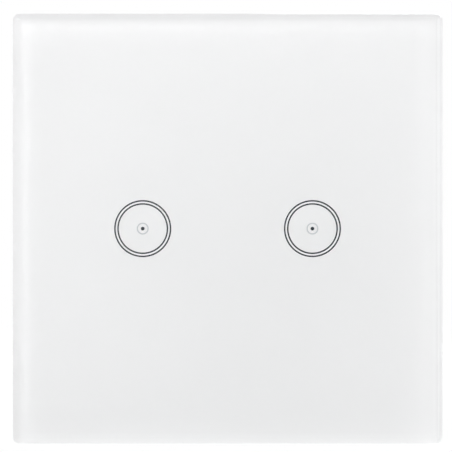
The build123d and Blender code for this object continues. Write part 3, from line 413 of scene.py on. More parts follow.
def foam_sheet(name, colour):
    """Double sided foam tape, with small closed cells."""
    material, tree, place = start_material(name)
    cloud = speckle(tree, place, 3 * MM, 3.0)
    return finished(material, {
        "Base Color": tinted(tree, cloud, colour, 0.03),
        "Roughness": spread(tree, cloud, 0.75, 0.9),
        "Normal": bumped(tree, cells(tree, place, 0.16 * MM), 0.03 * MM)})


def sintered_ferrite(name):
    """Dark fired ferrite with a fine sparkle and small pits."""
    material, tree, place = start_material(name)
    grain = speckle(tree, place, 0.05 * MM, 4.0)
    pits = ranged(tree, cells(tree, place, 0.35 * MM), 0.0, 0.22)
    return finished(material, {
        "Base Color": tinted(tree, grain, (0.035, 0.035, 0.038), 0.35),
        "Roughness": spread(tree, grain, 0.38, 0.6),
        "Normal": bumped(tree, pits, 0.012 * MM, bumped(tree, grain, 0.006 * MM))})


def wound_tape(name, colour):
    """Glossy film tape in overlapping turns, with faint wrinkles."""
    material, tree, place = start_material(name)
    edges = bands(tree, place, "Y", 1.1 * MM, 0.4, "SAW")
    wrinkle = speckle(tree, place, 0.5 * MM, 4.0, (1, 0.25, 1))
    return finished(material, {
        "Base Color": tinted(tree, wrinkle, colour, 0.08),
        "Roughness": spread(tree, wrinkle, 0.2, 0.34),
        "Coat Weight": 0.4,
        "Normal": bumped(tree, wrinkle, 0.01 * MM, bumped(tree, edges, 0.03 * MM))})


def clear_glass(name):
    """Polished glass that lets the lamps through to what lies behind it."""
    material, tree, place = start_material(name)
    haze = speckle(tree, place, 4 * MM, 4.0)
    glass = add_node(tree, "ShaderNodeBsdfPrincipled", {
        "Base Color": (0.997, 1.0, 1.0, 1),
        "Roughness": spread(tree, haze, 0.0, 0.012),
        "IOR": 1.5,
        "Transmission Weight": 1.0})
    open_way = add_node(tree, "ShaderNodeBsdfTransparent", {"Color": (0.985, 0.99, 0.99, 1)})
    ray = add_node(tree, "ShaderNodeLightPath")
    choice = add_node(tree, "ShaderNodeMixShader", {
        0: ray.outputs["Is Shadow Ray"], 1: glass.outputs[0], 2: open_way.outputs[0]})
    # Faintly green in depth, which shows at the sides of the sheet
    depth = add_node(tree, "ShaderNodeVolumeAbsorption", {
        "Color": (0.89, 0.95, 0.94, 1), "Density": 32.0})
    add_node(tree, "ShaderNodeOutputMaterial", {
        "Surface": choice.outputs[0], "Volume": depth.outputs[0]})
    return material


def finished_with_leads(material, place, leads, colour, roughness, normal, coat=0.0):
    """The material of a part whose leads, where their mask is 1, are bare tinned metal."""
    tree = material.node_tree
    marks = speckle(tree, place, 0.25 * MM, 4.0)
    return finished(material, {
        "Base Color": blended(tree, leads, colour, tinted(tree, marks, TIN, 0.08)),
        "Metallic": leads,
        "Roughness": between(tree, leads, roughness, spread(tree, marks, 0.24, 0.38)),
        "Coat Weight": coat,
        "Normal": normal})


def leaded_part(name, colour, leads, roughness=0.4, grain=0.1 * MM, depth=0.003 * MM, coat=0.0):
    """A moulded or dipped part; leads gives the mask of its bare leads from a tree and a place."""
    material, tree, place = start_material(name)
    fine = speckle(tree, place, grain, 3.0)
    slow = speckle(tree, place, 2 * MM, 4.0)
    return finished_with_leads(
        material, place, leads(tree, place), tinted(tree, slow, colour, 0.06),
        spread(tree, slow, roughness - 0.05, roughness + 0.07), bumped(tree, fine, depth), coat)


def in_power_board(tree, place):
    """1 where the leads of a power part stand in the board or beyond it, else 0."""
    return below(tree, place, "Y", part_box("power_board")[1].y - 0.001 * MM)


def chip_with_leads(name, node):
    """A black moulded chip, with its leads bare above and below its body."""
    middle = middle_of(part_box(node)).z
    body_half = 1.96 * MM
    return leaded_part(name, CHIP_BLACK,
                       lambda tree, place: outside(tree, place, "Z", middle, body_half),
                       roughness=0.5, grain=0.05 * MM)


def capacitor_can(name, node, colour):
    """A shrink sleeve with a pale stripe over an aluminium can with a scored end."""
    low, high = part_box(node)
    middle = middle_of((low, high))
    radius = (high.x - low.x) / 2
    sleeve_lip, end_depth, score_half = 0.75 * MM, 0.02 * MM, 0.09 * MM
    stripe_start = 0.86 * radius
    stripe = (0.5, 0.51, 0.52)
    material, tree, place = start_material(name)
    off = vector_maths(tree, "SUBTRACT", place, (middle.x, 0, middle.z)).outputs[0]
    flat = vector_maths(tree, "MULTIPLY", off, (1, 0, 1)).outputs[0]
    reach = vector_maths(tree, "LENGTH", flat).outputs["Value"]
    bare_end = maths(
        tree, "MULTIPLY",
        maths(tree, "GREATER_THAN", part_of_place(tree, place, "Y"), high.y - end_depth),
        maths(tree, "LESS_THAN", reach, radius - sleeve_lip))
    metal = maths(tree, "MAXIMUM", bare_end, in_power_board(tree, place))
    on_stripe = maths(tree, "GREATER_THAN", part_of_place(tree, flat, "X"), stripe_start)
    lines = [maths(tree, "LESS_THAN", maths(tree, "ABSOLUTE", part_of_place(tree, flat, axis)),
                   score_half) for axis in ("X", "Z")]
    score = maths(tree, "MULTIPLY", maths(tree, "MAXIMUM", *lines), bare_end)
    cloud = speckle(tree, place, 1.2 * MM, 4.0)
    scored = bumped(tree, maths(tree, "SUBTRACT", 1.0, score), 0.06 * MM,
                    bumped(tree, cloud, 0.006 * MM))
    return finished_with_leads(
        material, place, metal, blended(tree, on_stripe, tinted(tree, cloud, colour, 0.1), stripe),
        spread(tree, cloud, 0.22, 0.34), scored, coat=0.4)


# Meshes and pieces

def in_scene(name, data):
    """A new object in the scene, with this mesh, camera or lamp."""
    made = bpy.data.objects.new(name, data)
    bpy.context.scene.collection.objects.link(made)
    return made


def as_mesh(name, build):
    """A mesh of what was built."""
    mesh = bpy.data.meshes.new(name)
    build.to_mesh(mesh)
    build.free()
    return mesh


def evaluated(holder):
    """The mesh of an object with its modifiers applied; the object itself is removed."""
    graph = bpy.context.evaluated_depsgraph_get()
    mesh = bpy.data.meshes.new_from_object(holder.evaluated_get(graph), depsgraph=graph)
    holder.modifiers.clear()
    bpy.data.objects.remove(holder)
    return mesh


def add_piece(name, mesh, material, body, replaced=()):
    """Put a finished mesh in the scene as a piece that rides on a body."""
    piece = in_scene(name, mesh)
    mesh.name = name
    mesh.materials.clear()
    mesh.materials.append(material)
    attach(piece, body)
    if replaced:
        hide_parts(*replaced)
    return piece


def finish_node(node, material):
    """Give a CAD node its finish."""
    mesh = frame["nodes"][node].data
    mesh.materials.clear()
    mesh.materials.append(material)


def merged_copy(node):
    """A copy of a CAD node's mesh with its loose triangles joined."""
    build = bmesh.new()
    build.from_mesh(frame["nodes"][node].data)
    bmesh.ops.remove_doubles(build, verts=build.verts, dist=0.001 * MM)
    bmesh.ops.dissolve_degenerate(build, edges=build.edges, dist=0.001 * MM)
    return build


def dress(node, material, radius=0.0):
    """Replace a CAD node by a smooth copy, with its outer edges rounded by this radius."""
    build = merged_copy(node)
    weight = build.edges.layers.float.new("bevel_weight_edge")
    for edge in build.edges:
        if edge.is_manifold and edge.is_convex and edge.calc_face_angle() > ROUNDED_ANGLE:
            edge[weight] = 1.0
    mesh = as_mesh("copy", build)
    if radius:
        holder = in_scene("holder", mesh)
        bevel = holder.modifiers.new("edges", "BEVEL")
        bevel.width = radius
        bevel.segments = 3
        bevel.limit_method = "WEIGHT"
        bevel.loop_slide = False
        bevel.use_clamp_overlap = False
        mesh = evaluated(holder)
    smooth(mesh)
    mesh.set_sharp_from_angle(angle=CRISP_ANGLE)
    holder = in_scene("holder", mesh)
    even = holder.modifiers.new("flat faces", "WEIGHTED_NORMAL")
    even.keep_sharp = True
    even.weight = 100
    return add_piece(f"{node}_finished", evaluated(holder), material, BODIES[node],
                     [node])


def smooth(mesh):
    """Shade every face of a mesh smooth."""
    for face in mesh.polygons:
        face.use_smooth = True


def middle_of(box):
    """The middle of a box."""
    return (box[0] + box[1]) / 2


def solid_boxes(node):
    """The lowest and highest corner of each separate solid in a node, from left to right."""
    build = merged_copy(node)
    left = set(build.verts)
    found = []
    while left:
        front = [left.pop()]
        places = []
        while front:
            vert = front.pop()
            places.append(vert.co.copy())
            for edge in vert.link_edges:
                other = edge.other_vert(vert)
                if other in left:
                    left.remove(other)
                    front.append(other)
        found.append(tuple(Vector(pick(place[i] for place in places) for i in range(3))
                           for pick in (min, max)))
    build.free()
    return sorted(found, key=lambda box: (round(box[0].x, 5), round(box[0].z, 5)))


def lead_tips(nodes):
    """Where the leads of these nodes come through the board, as X and Z."""
    tip_depth, lead_reach = 0.01 * MM, 1.1 * MM
    tips = []
    for node in nodes:
        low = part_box(node)[0].y
        groups = []
        for vert in frame["nodes"][node].data.vertices:
            if vert.co.y < low + tip_depth:
                place = Vector((vert.co.x, vert.co.z))
                for group in groups:
                    if (group[0] - place).length < lead_reach:
                        group.append(place)
                        break
                else:
                    groups.append([place])
        for group in groups:
            xs, zs = zip(*group)
            tips.append(((min(xs) + max(xs)) / 2, (min(zs) + max(zs)) / 2))
    return tips


def bridge_rings(build, rings):
    """Join rings of points, each a list of the same length, with four sided smooth faces."""
    made = [[build.verts.new(point) for point in ring] for ring in rings]
    for one, other in zip(made, made[1:]):
        for i in range(len(one)):
            j = (i + 1) % len(one)
            build.faces.new((one[i], one[j], other[j], other[i])).smooth = True
    return made


def lofted(name, rings):
    """A closed mesh through rings of points, with a flat cap on the first and on the last."""
    build = bmesh.new()
    made = bridge_rings(build, rings)
    build.faces.new(made[0])
    build.faces.new(made[-1])
    bmesh.ops.recalc_face_normals(build, faces=build.faces)
    return as_mesh(name, build)


def rounded_block(size, radius, face):
    """A small block with rounded edges that stands out from this depth towards the room."""
    build = bmesh.new()
    bmesh.ops.create_cube(build, size=1.0)
    bmesh.ops.scale(build, vec=size, verts=build.verts)
    bmesh.ops.translate(build, vec=(0, face - size[1] / 2, 0), verts=build.verts)
    bmesh.ops.bevel(build, geom=build.edges[:], offset=radius, segments=2, profile=0.6,
                    affect="EDGES")
    return as_mesh("block", build)


def circle_path(middle, radius, steps=40):
    """Points round a circle."""
    return [(middle[0] + radius * math.cos(2 * math.pi * i / steps),
             middle[1] + radius * math.sin(2 * math.pi * i / steps)) for i in range(steps)]


def frame_path(middle, width, height):
    """The corners of a rectangle."""
    return [(middle[0] + x * width / 2, middle[1] + y * height / 2)
            for x, y in ((-1, -1), (1, -1), (1, 1), (-1, 1))]


def rounded_square(size, radius, steps):
    """Points round a square with rounded corners, in the plane of the wall, as X and Z."""
    middle = size / 2 - radius
    points = []
    for quarter, (right, up) in enumerate(((1, 1), (-1, 1), (-1, -1), (1, -1))):
        for step in range(steps + 1):
            angle = math.pi / 2 * (quarter + step / steps)
            points.append((right * middle + radius * math.cos(angle),
                           up * middle + radius * math.sin(angle)))
    return points


def track(start, end):
    """A board track: a straight run and then one at 45 degrees."""
    across, up = end[0] - start[0], end[1] - start[1]
    slant = min(abs(across), abs(up))
    if abs(across) > abs(up):
        bend = (end[0] - math.copysign(slant, across), start[1])
    else:
        bend = (start[0], end[1] - math.copysign(slant, up))
    shortest = 0.02 * MM
    points = [start, bend, end]
    return [point for i, point in enumerate(points)
            if i == 0 or math.dist(point, points[i - 1]) > shortest]


# Geometry trees, and the pieces that they make

def start_tree(name, inputs):
    """A geometry tree with named inputs, and its input sockets by name."""
    tree = bpy.data.node_groups.new(name, "GeometryNodeTree")
    tree.interface.new_socket("Geometry", in_out="INPUT", socket_type="NodeSocketGeometry")
    for label, kind in (*inputs, ("Material", "Material")):
        tree.interface.new_socket(label, in_out="INPUT", socket_type=f"NodeSocket{kind}")
    tree.interface.new_socket("Geometry", in_out="OUTPUT", socket_type="NodeSocketGeometry")
    return tree, add_node(tree, "NodeGroupInput").outputs


def end_tree(tree, given, geometry):
    """Close a geometry tree with real geometry in the material that comes in."""
    real = add_node(tree, "GeometryNodeRealizeInstances", {0: geometry})
    done = add_node(tree, "GeometryNodeSetMaterial", {
        "Geometry": real.outputs[0], "Material": given["Material"]})
    add_node(tree, "NodeGroupOutput", {0: done.outputs[0]})
    return tree


def grown(tree, seed, values):
    """The mesh that a geometry tree makes from a seed mesh and these values."""
    holder = in_scene("holder", seed)
    modifier = holder.modifiers.new("grow", "NODES")
    modifier.node_group = tree
    for item in tree.interface.items_tree:
        if item.in_out == "INPUT" and item.name in values:
            modifier[item.identifier] = values[item.name]
    return evaluated(holder)


def line_mesh(paths, closed=False):
    """Lines as a mesh of edges in the flat, each a list of two numbers."""
    mesh = bpy.data.meshes.new("lines")
    points, edges = [], []
    for path in paths:
        first = len(points)
        points += [(x, y, 0) for x, y in path]
        edges += [(first + i, first + i + 1) for i in range(len(path) - 1)]
        if closed:
            edges.append((len(points) - 1, first))
    mesh.from_pydata(points, edges, [])
    return mesh


def point_mesh(places, turns=None):
    """Points with a turn for each."""
    mesh = bpy.data.meshes.new("points")
    mesh.from_pydata(places, [], [])
    attribute = mesh.attributes.new("turn", "FLOAT", "POINT")
    attribute.data.foreach_set("value", turns or [0.0] * len(places))
    return mesh


def strips_tree():
    """Strips of this width along lines drawn flat, half sunk, then turned and moved to a face."""
    tree, given = start_tree("raised strips", (
        ("Width", "Float"), ("Height", "Float"), ("Turn", "Vector"), ("Place", "Vector")))
    lines = add_node(tree, "GeometryNodeMeshToCurve", {"Mesh": given["Geometry"]})
    flat = add_node(tree, "GeometryNodeSetCurveNormal", {"Curve": lines.outputs[0]}, mode="Z_UP")
    outline = add_node(tree, "GeometryNodeCurvePrimitiveQuadrilateral", {
        "Width": given["Width"], "Height": maths(tree, "MULTIPLY", given["Height"], 2.0)})
    profile = add_node(tree, "GeometryNodeFilletCurve", {
        "Curve": outline.outputs[0], "Count": 2,
        "Radius": maths(tree, "MULTIPLY", given["Height"], 0.6), "Limit Radius": True},
        mode="POLY")
    swept = add_node(tree, "GeometryNodeCurveToMesh", {
        "Curve": flat.outputs[0], "Profile Curve": profile.outputs[0], "Fill Caps": True})
    placed = add_node(tree, "GeometryNodeTransform", {
        "Geometry": swept.outputs[0], "Rotation": given["Turn"], "Translation": given["Place"]})
    return end_tree(tree, given, placed.outputs[0])


def add_strips(name, paths, width, height, place, material, turn=UPRIGHT, closed=False):
    """Raised strips along these lines on the face at this place, as one piece."""
    mesh = grown(strips_tree(), line_mesh(paths, closed), {
        "Width": width, "Height": height, "Turn": turn, "Place": place, "Material": material})
    return add_piece(name, mesh, material, BASE)


def copies_tree():
    """A copy of a shape at each point, turned about the depth axis by the point's own turn."""
    tree, given = start_tree("copies at points", (("Shape", "Object"),))
    shape = add_node(tree, "GeometryNodeObjectInfo", {"Object": given["Shape"]})
    turn = add_node(tree, "GeometryNodeInputNamedAttribute", {"Name": "turn"}, data_type="FLOAT")
    turned = add_node(tree, "ShaderNodeCombineXYZ", {"Y": turn.outputs[0]})
    placed = add_node(tree, "GeometryNodeInstanceOnPoints", {
        "Points": given["Geometry"], "Instance": shape.outputs["Geometry"],
        "Rotation": turned.outputs[0]})
    return end_tree(tree, given, placed.outputs[0])


def add_copies(name, shape, places, turns, material, replaced=()):
    """Copies of a small shape at these places, as one piece."""
    pattern = in_scene("pattern", shape)
    mesh = grown(copies_tree(), point_mesh(places, turns), {
        "Shape": pattern, "Material": material})
    bpy.data.objects.remove(pattern)
    return add_piece(name, mesh, material, BASE, replaced)


def joints_tree():
    """A cone of solder at each point, from its pad up to the lead, towards the room."""
    tree, given = start_tree("solder joints", (
        ("Pad radius", "Float"), ("Lead radius", "Float"), ("Height", "Float")))
    cone = add_node(tree, "GeometryNodeMeshCone", {
        "Vertices": 20, "Side Segments": 3, "Fill Segments": 1,
        "Radius Top": given["Lead radius"], "Radius Bottom": given["Pad radius"],
        "Depth": given["Height"]})
    # The cone's flank is drawn in, as molten solder creeps up a lead
    drawn_in = 0.22
    place = add_node(tree, "GeometryNodeInputPosition").outputs[0]
    share = maths(tree, "DIVIDE", part_of_place(tree, place, "Z"), given["Height"])
    dip = maths(tree, "SINE", maths(tree, "MULTIPLY", share, math.pi))
    shrink = maths(tree, "MULTIPLY", dip, -drawn_in)
    radial = vector_maths(tree, "MULTIPLY", place, (1, 1, 0)).outputs[0]
    pull = vector_maths(tree, "MULTIPLY", radial, shrink).outputs[0]
    drawn = add_node(tree, "GeometryNodeSetPosition", {
        "Geometry": cone.outputs[0], "Offset": pull})
    even = add_node(tree, "GeometryNodeSetShadeSmooth", {"Geometry": drawn.outputs[0]})
    placed = add_node(tree, "GeometryNodeInstanceOnPoints", {
        "Points": given["Geometry"], "Instance": even.outputs[0], "Rotation": UPRIGHT})
    return end_tree(tree, given, placed.outputs[0])


def add_joints(name, tips, face, material, pad, lead, height):
    """Solder joints at these places on the face at this depth, with the radii of their pads
    and leads."""
    seed = point_mesh([(x, face, z) for x, z in tips])
    mesh = grown(joints_tree(), seed, {
        "Pad radius": pad, "Lead radius": lead, "Height": height, "Material": material})
    return add_piece(name, mesh, material, BASE)


def spiral_tree():
    """What comes in, with a spiral of wire added round the depth axis at each given point."""
    tree, given = start_tree("wound wire", (
        ("Points", "Object"), ("Turns", "Float"), ("Radius", "Float"), ("Length", "Float"),
        ("Wire radius", "Float"), ("Wire sides", "Int"), ("Steps", "Int")))
    line = add_node(tree, "GeometryNodeCurveSpiral", {
        "Resolution": given["Steps"], "Rotations": given["Turns"],
        "Start Radius": given["Radius"], "End Radius": given["Radius"],
        "Height": given["Length"]})
    profile = add_node(tree, "GeometryNodeCurvePrimitiveCircle", {
        "Resolution": given["Wire sides"], "Radius": given["Wire radius"]}, mode="RADIUS")
    wire = add_node(tree, "GeometryNodeCurveToMesh", {
        "Curve": line.outputs[0], "Profile Curve": profile.outputs[0], "Fill Caps": True})
    points = add_node(tree, "GeometryNodeObjectInfo", {"Object": given["Points"]})
    placed = add_node(tree, "GeometryNodeInstanceOnPoints", {
        "Points": points.outputs["Geometry"], "Instance": wire.outputs[0],
        "Rotation": (-math.pi / 2, 0, 0)})
    both = add_node(tree, "GeometryNodeJoinGeometry")
    for source in (given["Geometry"], placed.outputs[0]):
        tree.links.new(source, both.inputs[0])
    return end_tree(tree, given, both.outputs[0])


def wound(seed, places, values):
    """A seed mesh with a spiral added at each of these places."""
    points = in_scene("spiral places", point_mesh(places))
    mesh = grown(spiral_tree(), seed, {"Points": points, **values})
    bpy.data.objects.remove(points)
    return mesh


class LIGHTSWITCH_OT_glass(bpy.types.Operator):
    """Make the glass sheet with its polished edge, and finish the print behind it."""
    bl_idname = "lightswitch.glass"
    bl_label = "Glass and print"

    def execute(self, context):
        look = context.scene.switch_glass
        low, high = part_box("glass_panel")
        size = high.x - low.x
        add_piece("glass_sheet", self.glass_sheet(look, size, low.y),
                  clear_glass("clear glass"), PANEL, ["glass_panel"])
        finish_node("panel_print", self.panel_ink(look, size / 2))
        finish_node("window_tint", printed_ink("dark ink", look.line_colour, roughness=0.3,
                                               gloss=0.1))
        finish_node("halo_print", printed_ink("pale grey ink", look.halo_colour))
        return {"FINISHED"}

    def glass_sheet(self, look, size, front):
        """A square sheet with a rounded front edge, and a ground chamfer at the back."""
        # The back of the glass lies a hair behind the face of the print, as if bonded to it
        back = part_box("panel_print")[0].y + 0.01 * MM
        smallest_radius = 0.02 * MM
        edge_steps, corner_steps = 28, 12
        profile = [(look.back_chamfer, back), (0, back - look.back_chamfer)]
        for step in range(edge_steps + 1):
            angle = math.pi / 2 * step / edge_steps
            profile.append((look.edge_width * (1 - math.cos(angle)),
                            front + look.edge_depth * (1 - math.sin(angle))))
        rings = []
        for inset, y in profile:
            radius = max(look.corner_radius - inset, smallest_radius)
            outline = rounded_square(size - 2 * inset, radius, corner_steps)
            rings.append([(x, y, z) for x, z in outline])
        mesh = lofted("glass_sheet", rings)
        mesh.set_sharp_from_angle(angle=math.radians(30))
        return mesh

    def panel_ink(self, look, edge):
        """The white ink, with painted light along the rim for light let in by the glass edge."""
        material, tree, place = start_material("white print and painted rim light")
        bend, near_bend = edge - look.edge_width, edge - 1.2 * look.edge_width
        wide_share, close_share = 0.12, 0.65
        across, up = (part_of_place(tree, place, axis) for axis in ("X", "Z"))
        out = maths(tree, "MAXIMUM", maths(tree, "ABSOLUTE", across), maths(tree, "ABSOLUTE", up))
        wide = ranged(tree, out, edge - look.painted_rim_width, near_bend, 0.0, wide_share,
                      interpolation_type="SMOOTHSTEP")
        close = ranged(tree, out, near_bend, bend, 0.0, close_share)
        # Painted light: the painted rim light fades out towards the top edge, as little light comes
        # in by it
        low_down = ranged(tree, up, 0.5 * edge, edge, 1.0, 0.0)
        painted_rim_share = maths(tree, "MULTIPLY", maths(tree, "ADD", wide, close), low_down)
        mottle = speckle(tree, place, 0.35 * MM, 4.0)
        # A lighter copy of the print colour, for the painted light along the rim
        light = tuple(c * (1 + look.painted_rim_light) for c in look.print_colour)
        return finished(material, {
            "Base Color": blended(tree, painted_rim_share, tinted(tree, mottle, look.print_colour, 0.004),
                                  light),
            "Roughness": spread(tree, mottle, 0.46, 0.54),
            "Normal": bumped(tree, mottle, 0.0004 * MM)})


class LIGHTSWITCH_OT_housing(bpy.types.Operator):
    """Finish the moulded parts and the sheet metal of the housing."""
    bl_idname = "lightswitch.housing"
    bl_label = "Housing"

    def execute(self, context):
        look = context.scene.switch_plastic
        white = moulded_plastic("white plastic", look.white)
        box = moulded_plastic("box plastic", look.box, roughness=0.5)
        dress("panel_frame", white, look.edge_radius)
        dress("carrier", white, look.edge_radius)
        dress("rear_box", box, 1.2 * look.edge_radius)
        self.add_ribs(look, box)
        zinc = plated_metal("zinc plated steel", (0.62, 0.63, 0.65))
        dress("mounting_strap", zinc, 0.12 * MM)
        dress("housing_screws", zinc, 0.06 * MM)
        dress("panel_clips", plated_metal("spring steel", (0.55, 0.56, 0.57),
                                          roughness=0.25))
        dress("panel_adhesive", foam_sheet("foam tape", (0.72, 0.72, 0.70)))
        return {"FINISHED"}

    def add_ribs(self, look, material):
        """Guide ribs on the walls of the box, and collars round its screw and wire holes."""
        low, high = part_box("rear_box")
        screws = [middle_of(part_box(f"terminal_screw_{i}")) for i in TERMINALS]
        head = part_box("terminal_screw_1")
        collar_radius = (head[1].x - head[0].x) / 2 + 1.0 * MM
        collar_width = 0.6 * MM
        # The outer face of the box behind the terminals, where its screw holes are
        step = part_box("terminal_block")[1].y + 1.7 * MM
        window_depth, window_width, window_height = 7.0 * MM, 5.4 * MM, 5.0 * MM
        add_strips("screw_hole_collars",
                   [circle_path((at.x, at.z), collar_radius) for at in screws], collar_width,
                   look.rib_height, (0, step, 0), material, closed=True)
        add_strips("wire_window_frames",
                   [frame_path((at.x, window_depth), window_width, window_height)
                    for at in screws], collar_width, look.rib_height, (0, 0, low.z),
                   material, LEVEL, closed=True)
        rib_start, rib_end = 4 * MM, 20 * MM
        side_ribs, upper_ribs = (7, 0, -7), (-9, 0, 9)
        for name, turn, place, ribs in (
                ("left_guide_ribs", SIDEWAYS, (low.x, 0, 0), side_ribs),
                ("right_guide_ribs", SIDEWAYS, (high.x, 0, 0), side_ribs),
                ("upper_guide_ribs", LEVEL, (0, 0, high.z), upper_ribs)):
            lines = [[(rib * MM, rib_start), (rib * MM, rib_end)] for rib in ribs]
            add_strips(name, lines, look.rib_width, look.rib_height, place, material,
                       turn)


class LIGHTSWITCH_OT_touch_board(bpy.types.Operator):
    """Finish the touch board with its chips, lights, springs, tracks and radio module."""
    bl_idname = "lightswitch.touch_board"
    bl_label = "Touch board"

    def execute(self, context):
        look = context.scene.switch_boards
        dress("touch_board", circuit_board("black solder mask", look.touch_mask), 0.06 * MM)
        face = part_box("touch_board")[0].y
        self.add_lights(face)
        self.add_chips(face)
        self.add_radio(look)
        self.add_connector(face)
        self.add_tracks(look, face)
        self.add_outlines(look, face)
        springs = plated_metal("spring wire", (0.60, 0.61, 0.62), roughness=0.22,
                               along=(1, 1, 1))
        for side in SIDES:
            dress(f"touch_spring_{side}", springs)
        return {"FINISHED"}

    def add_lights(self, face):
        """Light chips with a phosphor window each, and the frosted guides over them."""
        places, turns = [], []
        for box in solid_boxes("led_chips"):
            at = middle_of(box)
            places.append((at.x, 0, at.z))
            out = Vector((at.x - math.copysign(FIELD, at.x), at.z))
            in_ring = out.length > 1 * MM
            turns.append(math.atan2(out.x, out.y) + math.pi / 2 if in_ring else 0.0)
        case = rounded_block((1.6 * MM, 0.46 * MM, 0.8 * MM), 0.05 * MM, face)
        case_plastic = moulded_plastic("chip case", (0.82, 0.82, 0.80), roughness=0.35,
                                       grain=0.05 * MM, depth=0.002 * MM)
        add_copies("light_chip_cases", case, places, turns, case_plastic,
                   ["led_chips"])
        window = rounded_block((1.0 * MM, 0.05 * MM, 0.56 * MM), 0.02 * MM, face - 0.45 * MM)
        add_copies("light_chip_windows", window, places, turns,
                   fired_ceramic("phosphor", (0.78, 0.62, 0.10)))
        frosted = frosted_plastic("frosted guide")
        for guide in ("light_ring", "light_pipe"):
            for side in SIDES:
                dress(f"{guide}_{side}", frosted, 0.1 * MM)

    def add_chips(self, face):
        """The touch chip with bare leads, and small ceramic chips with tinned ends."""
        dress("touch_chip", chip_with_leads("moulded chip", "touch_chip"), 0.05 * MM)
        places, turns, ends, end_turns = [], [], [], []
        for low, high in solid_boxes("board_passives"):
            at = middle_of((low, high))
            turn = 0.0 if high.x - low.x > high.z - low.z else math.pi / 2
            places.append((at.x, 0, at.z))
            turns.append(turn)
            for way in (-CHIP_END, CHIP_END):
                ends.append((at.x + way * math.cos(turn), 0, at.z - way * math.sin(turn)))
                end_turns.append(turn)
        body = rounded_block((1.3 * MM, 0.55 * MM, 1.18 * MM), 0.05 * MM, face)
        add_copies("ceramic_chip_bodies", body, places, turns,
                   fired_ceramic("brown ceramic", (0.30, 0.19, 0.11)),
                   ["board_passives"])
        cap = rounded_block((0.4 * MM, 0.6 * MM, 1.25 * MM), 0.09 * MM, face)
        tinned = plated_metal("tinned ends", TIN, roughness=0.32, cloud=0.3 * MM,
                              scratch=0.05 * MM, along=(1, 1, 1))
        add_copies("ceramic_chip_ends", cap, ends, end_turns, tinned)

    def add_radio(self, look):
        """The radio module with its shield can, its aerial track and solder in its edge bays."""
        dress("radio_board", circuit_board("blue solder mask", look.radio_mask), 0.04 * MM)
        dress("radio_chip", moulded_plastic("radio chip", CHIP_BLACK, roughness=0.5,
                                            grain=0.05 * MM, depth=0.002 * MM), 0.06 * MM)
        tinned = plated_metal("tinned steel", TIN, roughness=0.26, cloud=2.2 * MM,
                              scratch=0.06 * MM, depth=0.0012 * MM)
        dress("radio_shield", tinned, 0.07 * MM)
        low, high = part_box("radio_board")
        aerial_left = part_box("radio_shield")[1].x + 1.2 * MM
        aerial_right = high.x - 1.9 * MM
        aerial_top = high.z - 1.6 * MM
        pitch = 1.1 * MM
        turns = []
        for i in range(6):
            up = aerial_top - i * 2 * pitch
            turns += [(aerial_left, up), (aerial_right, up), (aerial_right, up - pitch),
                      (aerial_left, up - pitch)]
        gold = plated_metal("gilt copper", (0.83, 0.62, 0.26), roughness=0.28,
                            cloud=0.5 * MM)
        add_strips("aerial_track", [turns], 0.5 * MM, look.track_height, (0, low.y, 0), gold)
        bay_pitch, bays_middle = 1.5 * MM, low.z + 8 * MM
        bays = [(x, bays_middle + (i - 3.5) * bay_pitch) for i in range(8)
                for x in (low.x, high.x)]
        add_joints("module_solder", bays, high.y - 0.3 * MM, solder_metal("module solder"),
                   pad=0.62 * MM, lead=0.3 * MM, height=0.5 * MM)

    def add_connector(self, face):
        """The pin header and its socket."""
        black = moulded_plastic("black connector", (0.018, 0.018, 0.019), roughness=0.45,
                                grain=0.08 * MM)
        dress("header_base", black, 0.12 * MM)
        dress("socket_strip", black, 0.12 * MM)
        gold = plated_metal("gilt pins", (0.83, 0.64, 0.30), roughness=0.22, cloud=0.8 * MM,
                            along=(1, 0.1, 1))
        dress("header_pins", gold, 0.12 * MM)
        pins = [middle_of(box) for box in solid_boxes("header_pins")]
        add_joints("header_solder", [(at.x, at.z) for at in pins], face,
                   solder_metal("header solder"), pad=0.8 * MM, lead=0.4 * MM,
                   height=0.45 * MM)

    def add_tracks(self, look, face):
        """Tracks and sensor rings under the mask."""
        masked = circuit_board("masked copper", tuple(c * 2.2 + 0.012 for c in look.touch_mask))
        add_strips("touch_board_tracks", self.signal_paths(), look.track_width,
                   look.track_height, (0, face, 0), masked)
        inner, outer = 7.2 * MM, 8.1 * MM
        rings = [circle_path((x, 0), radius, 64) for x in (-FIELD, FIELD)
                 for radius in (inner, outer)]
        add_strips("sensor_fields", rings, 0.5 * MM, look.track_height, (0, face, 0), masked,
                   closed=True)

    def signal_paths(self):
        """The ways of the signal tracks, as X and Z."""
        lead_inset, light_end = 0.3 * MM, 0.7 * MM
        row_start, row_step = 0.9 * MM, 0.7 * MM
        bend_start, bend_step = 2.6 * MM, 0.6 * MM
        lane_start, lane_step = 0.9 * MM, 0.8 * MM
        bay_start, bay_step = 2.8 * MM, 1.5 * MM
        lower_pads, upper_pads, field_foot = 22 * MM, 25 * MM, -7.6 * MM
        low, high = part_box("touch_chip")
        leads = [middle_of((low, high)).x + (i - 3.5) * LEAD_PITCH for i in range(8)]
        top, foot = high.z - lead_inset, low.z + lead_inset
        pins = [middle_of(box) for box in solid_boxes("header_pins")]
        lights = [middle_of(box) for box in solid_boxes("led_chips")]
        lower, upper = self.small_chips()
        paths = [track((lead, top), (pin.x, pin.z)) for lead, pin in zip(leads[1:], pins)]
        for side, chips, side_leads in ((-1, lower[:3], leads), (1, lower[3:], leads[::-1])):
            # From the lower leads to the small chips in rows, and on to test pads at the side
            for i, at in enumerate(chips):
                row = foot - row_start - row_step * (2 - i)
                near = (at.x - side * CHIP_END, at.z)
                bend = (near[0] - side * (bend_start + bend_step * i), row)
                paths.append([(side_leads[i], foot), (side_leads[i], row)] + track(bend, near))
                paths.append(track((at.x + side * CHIP_END, at.z),
                                   (side * lower_pads, at.z + 2 * MM)))
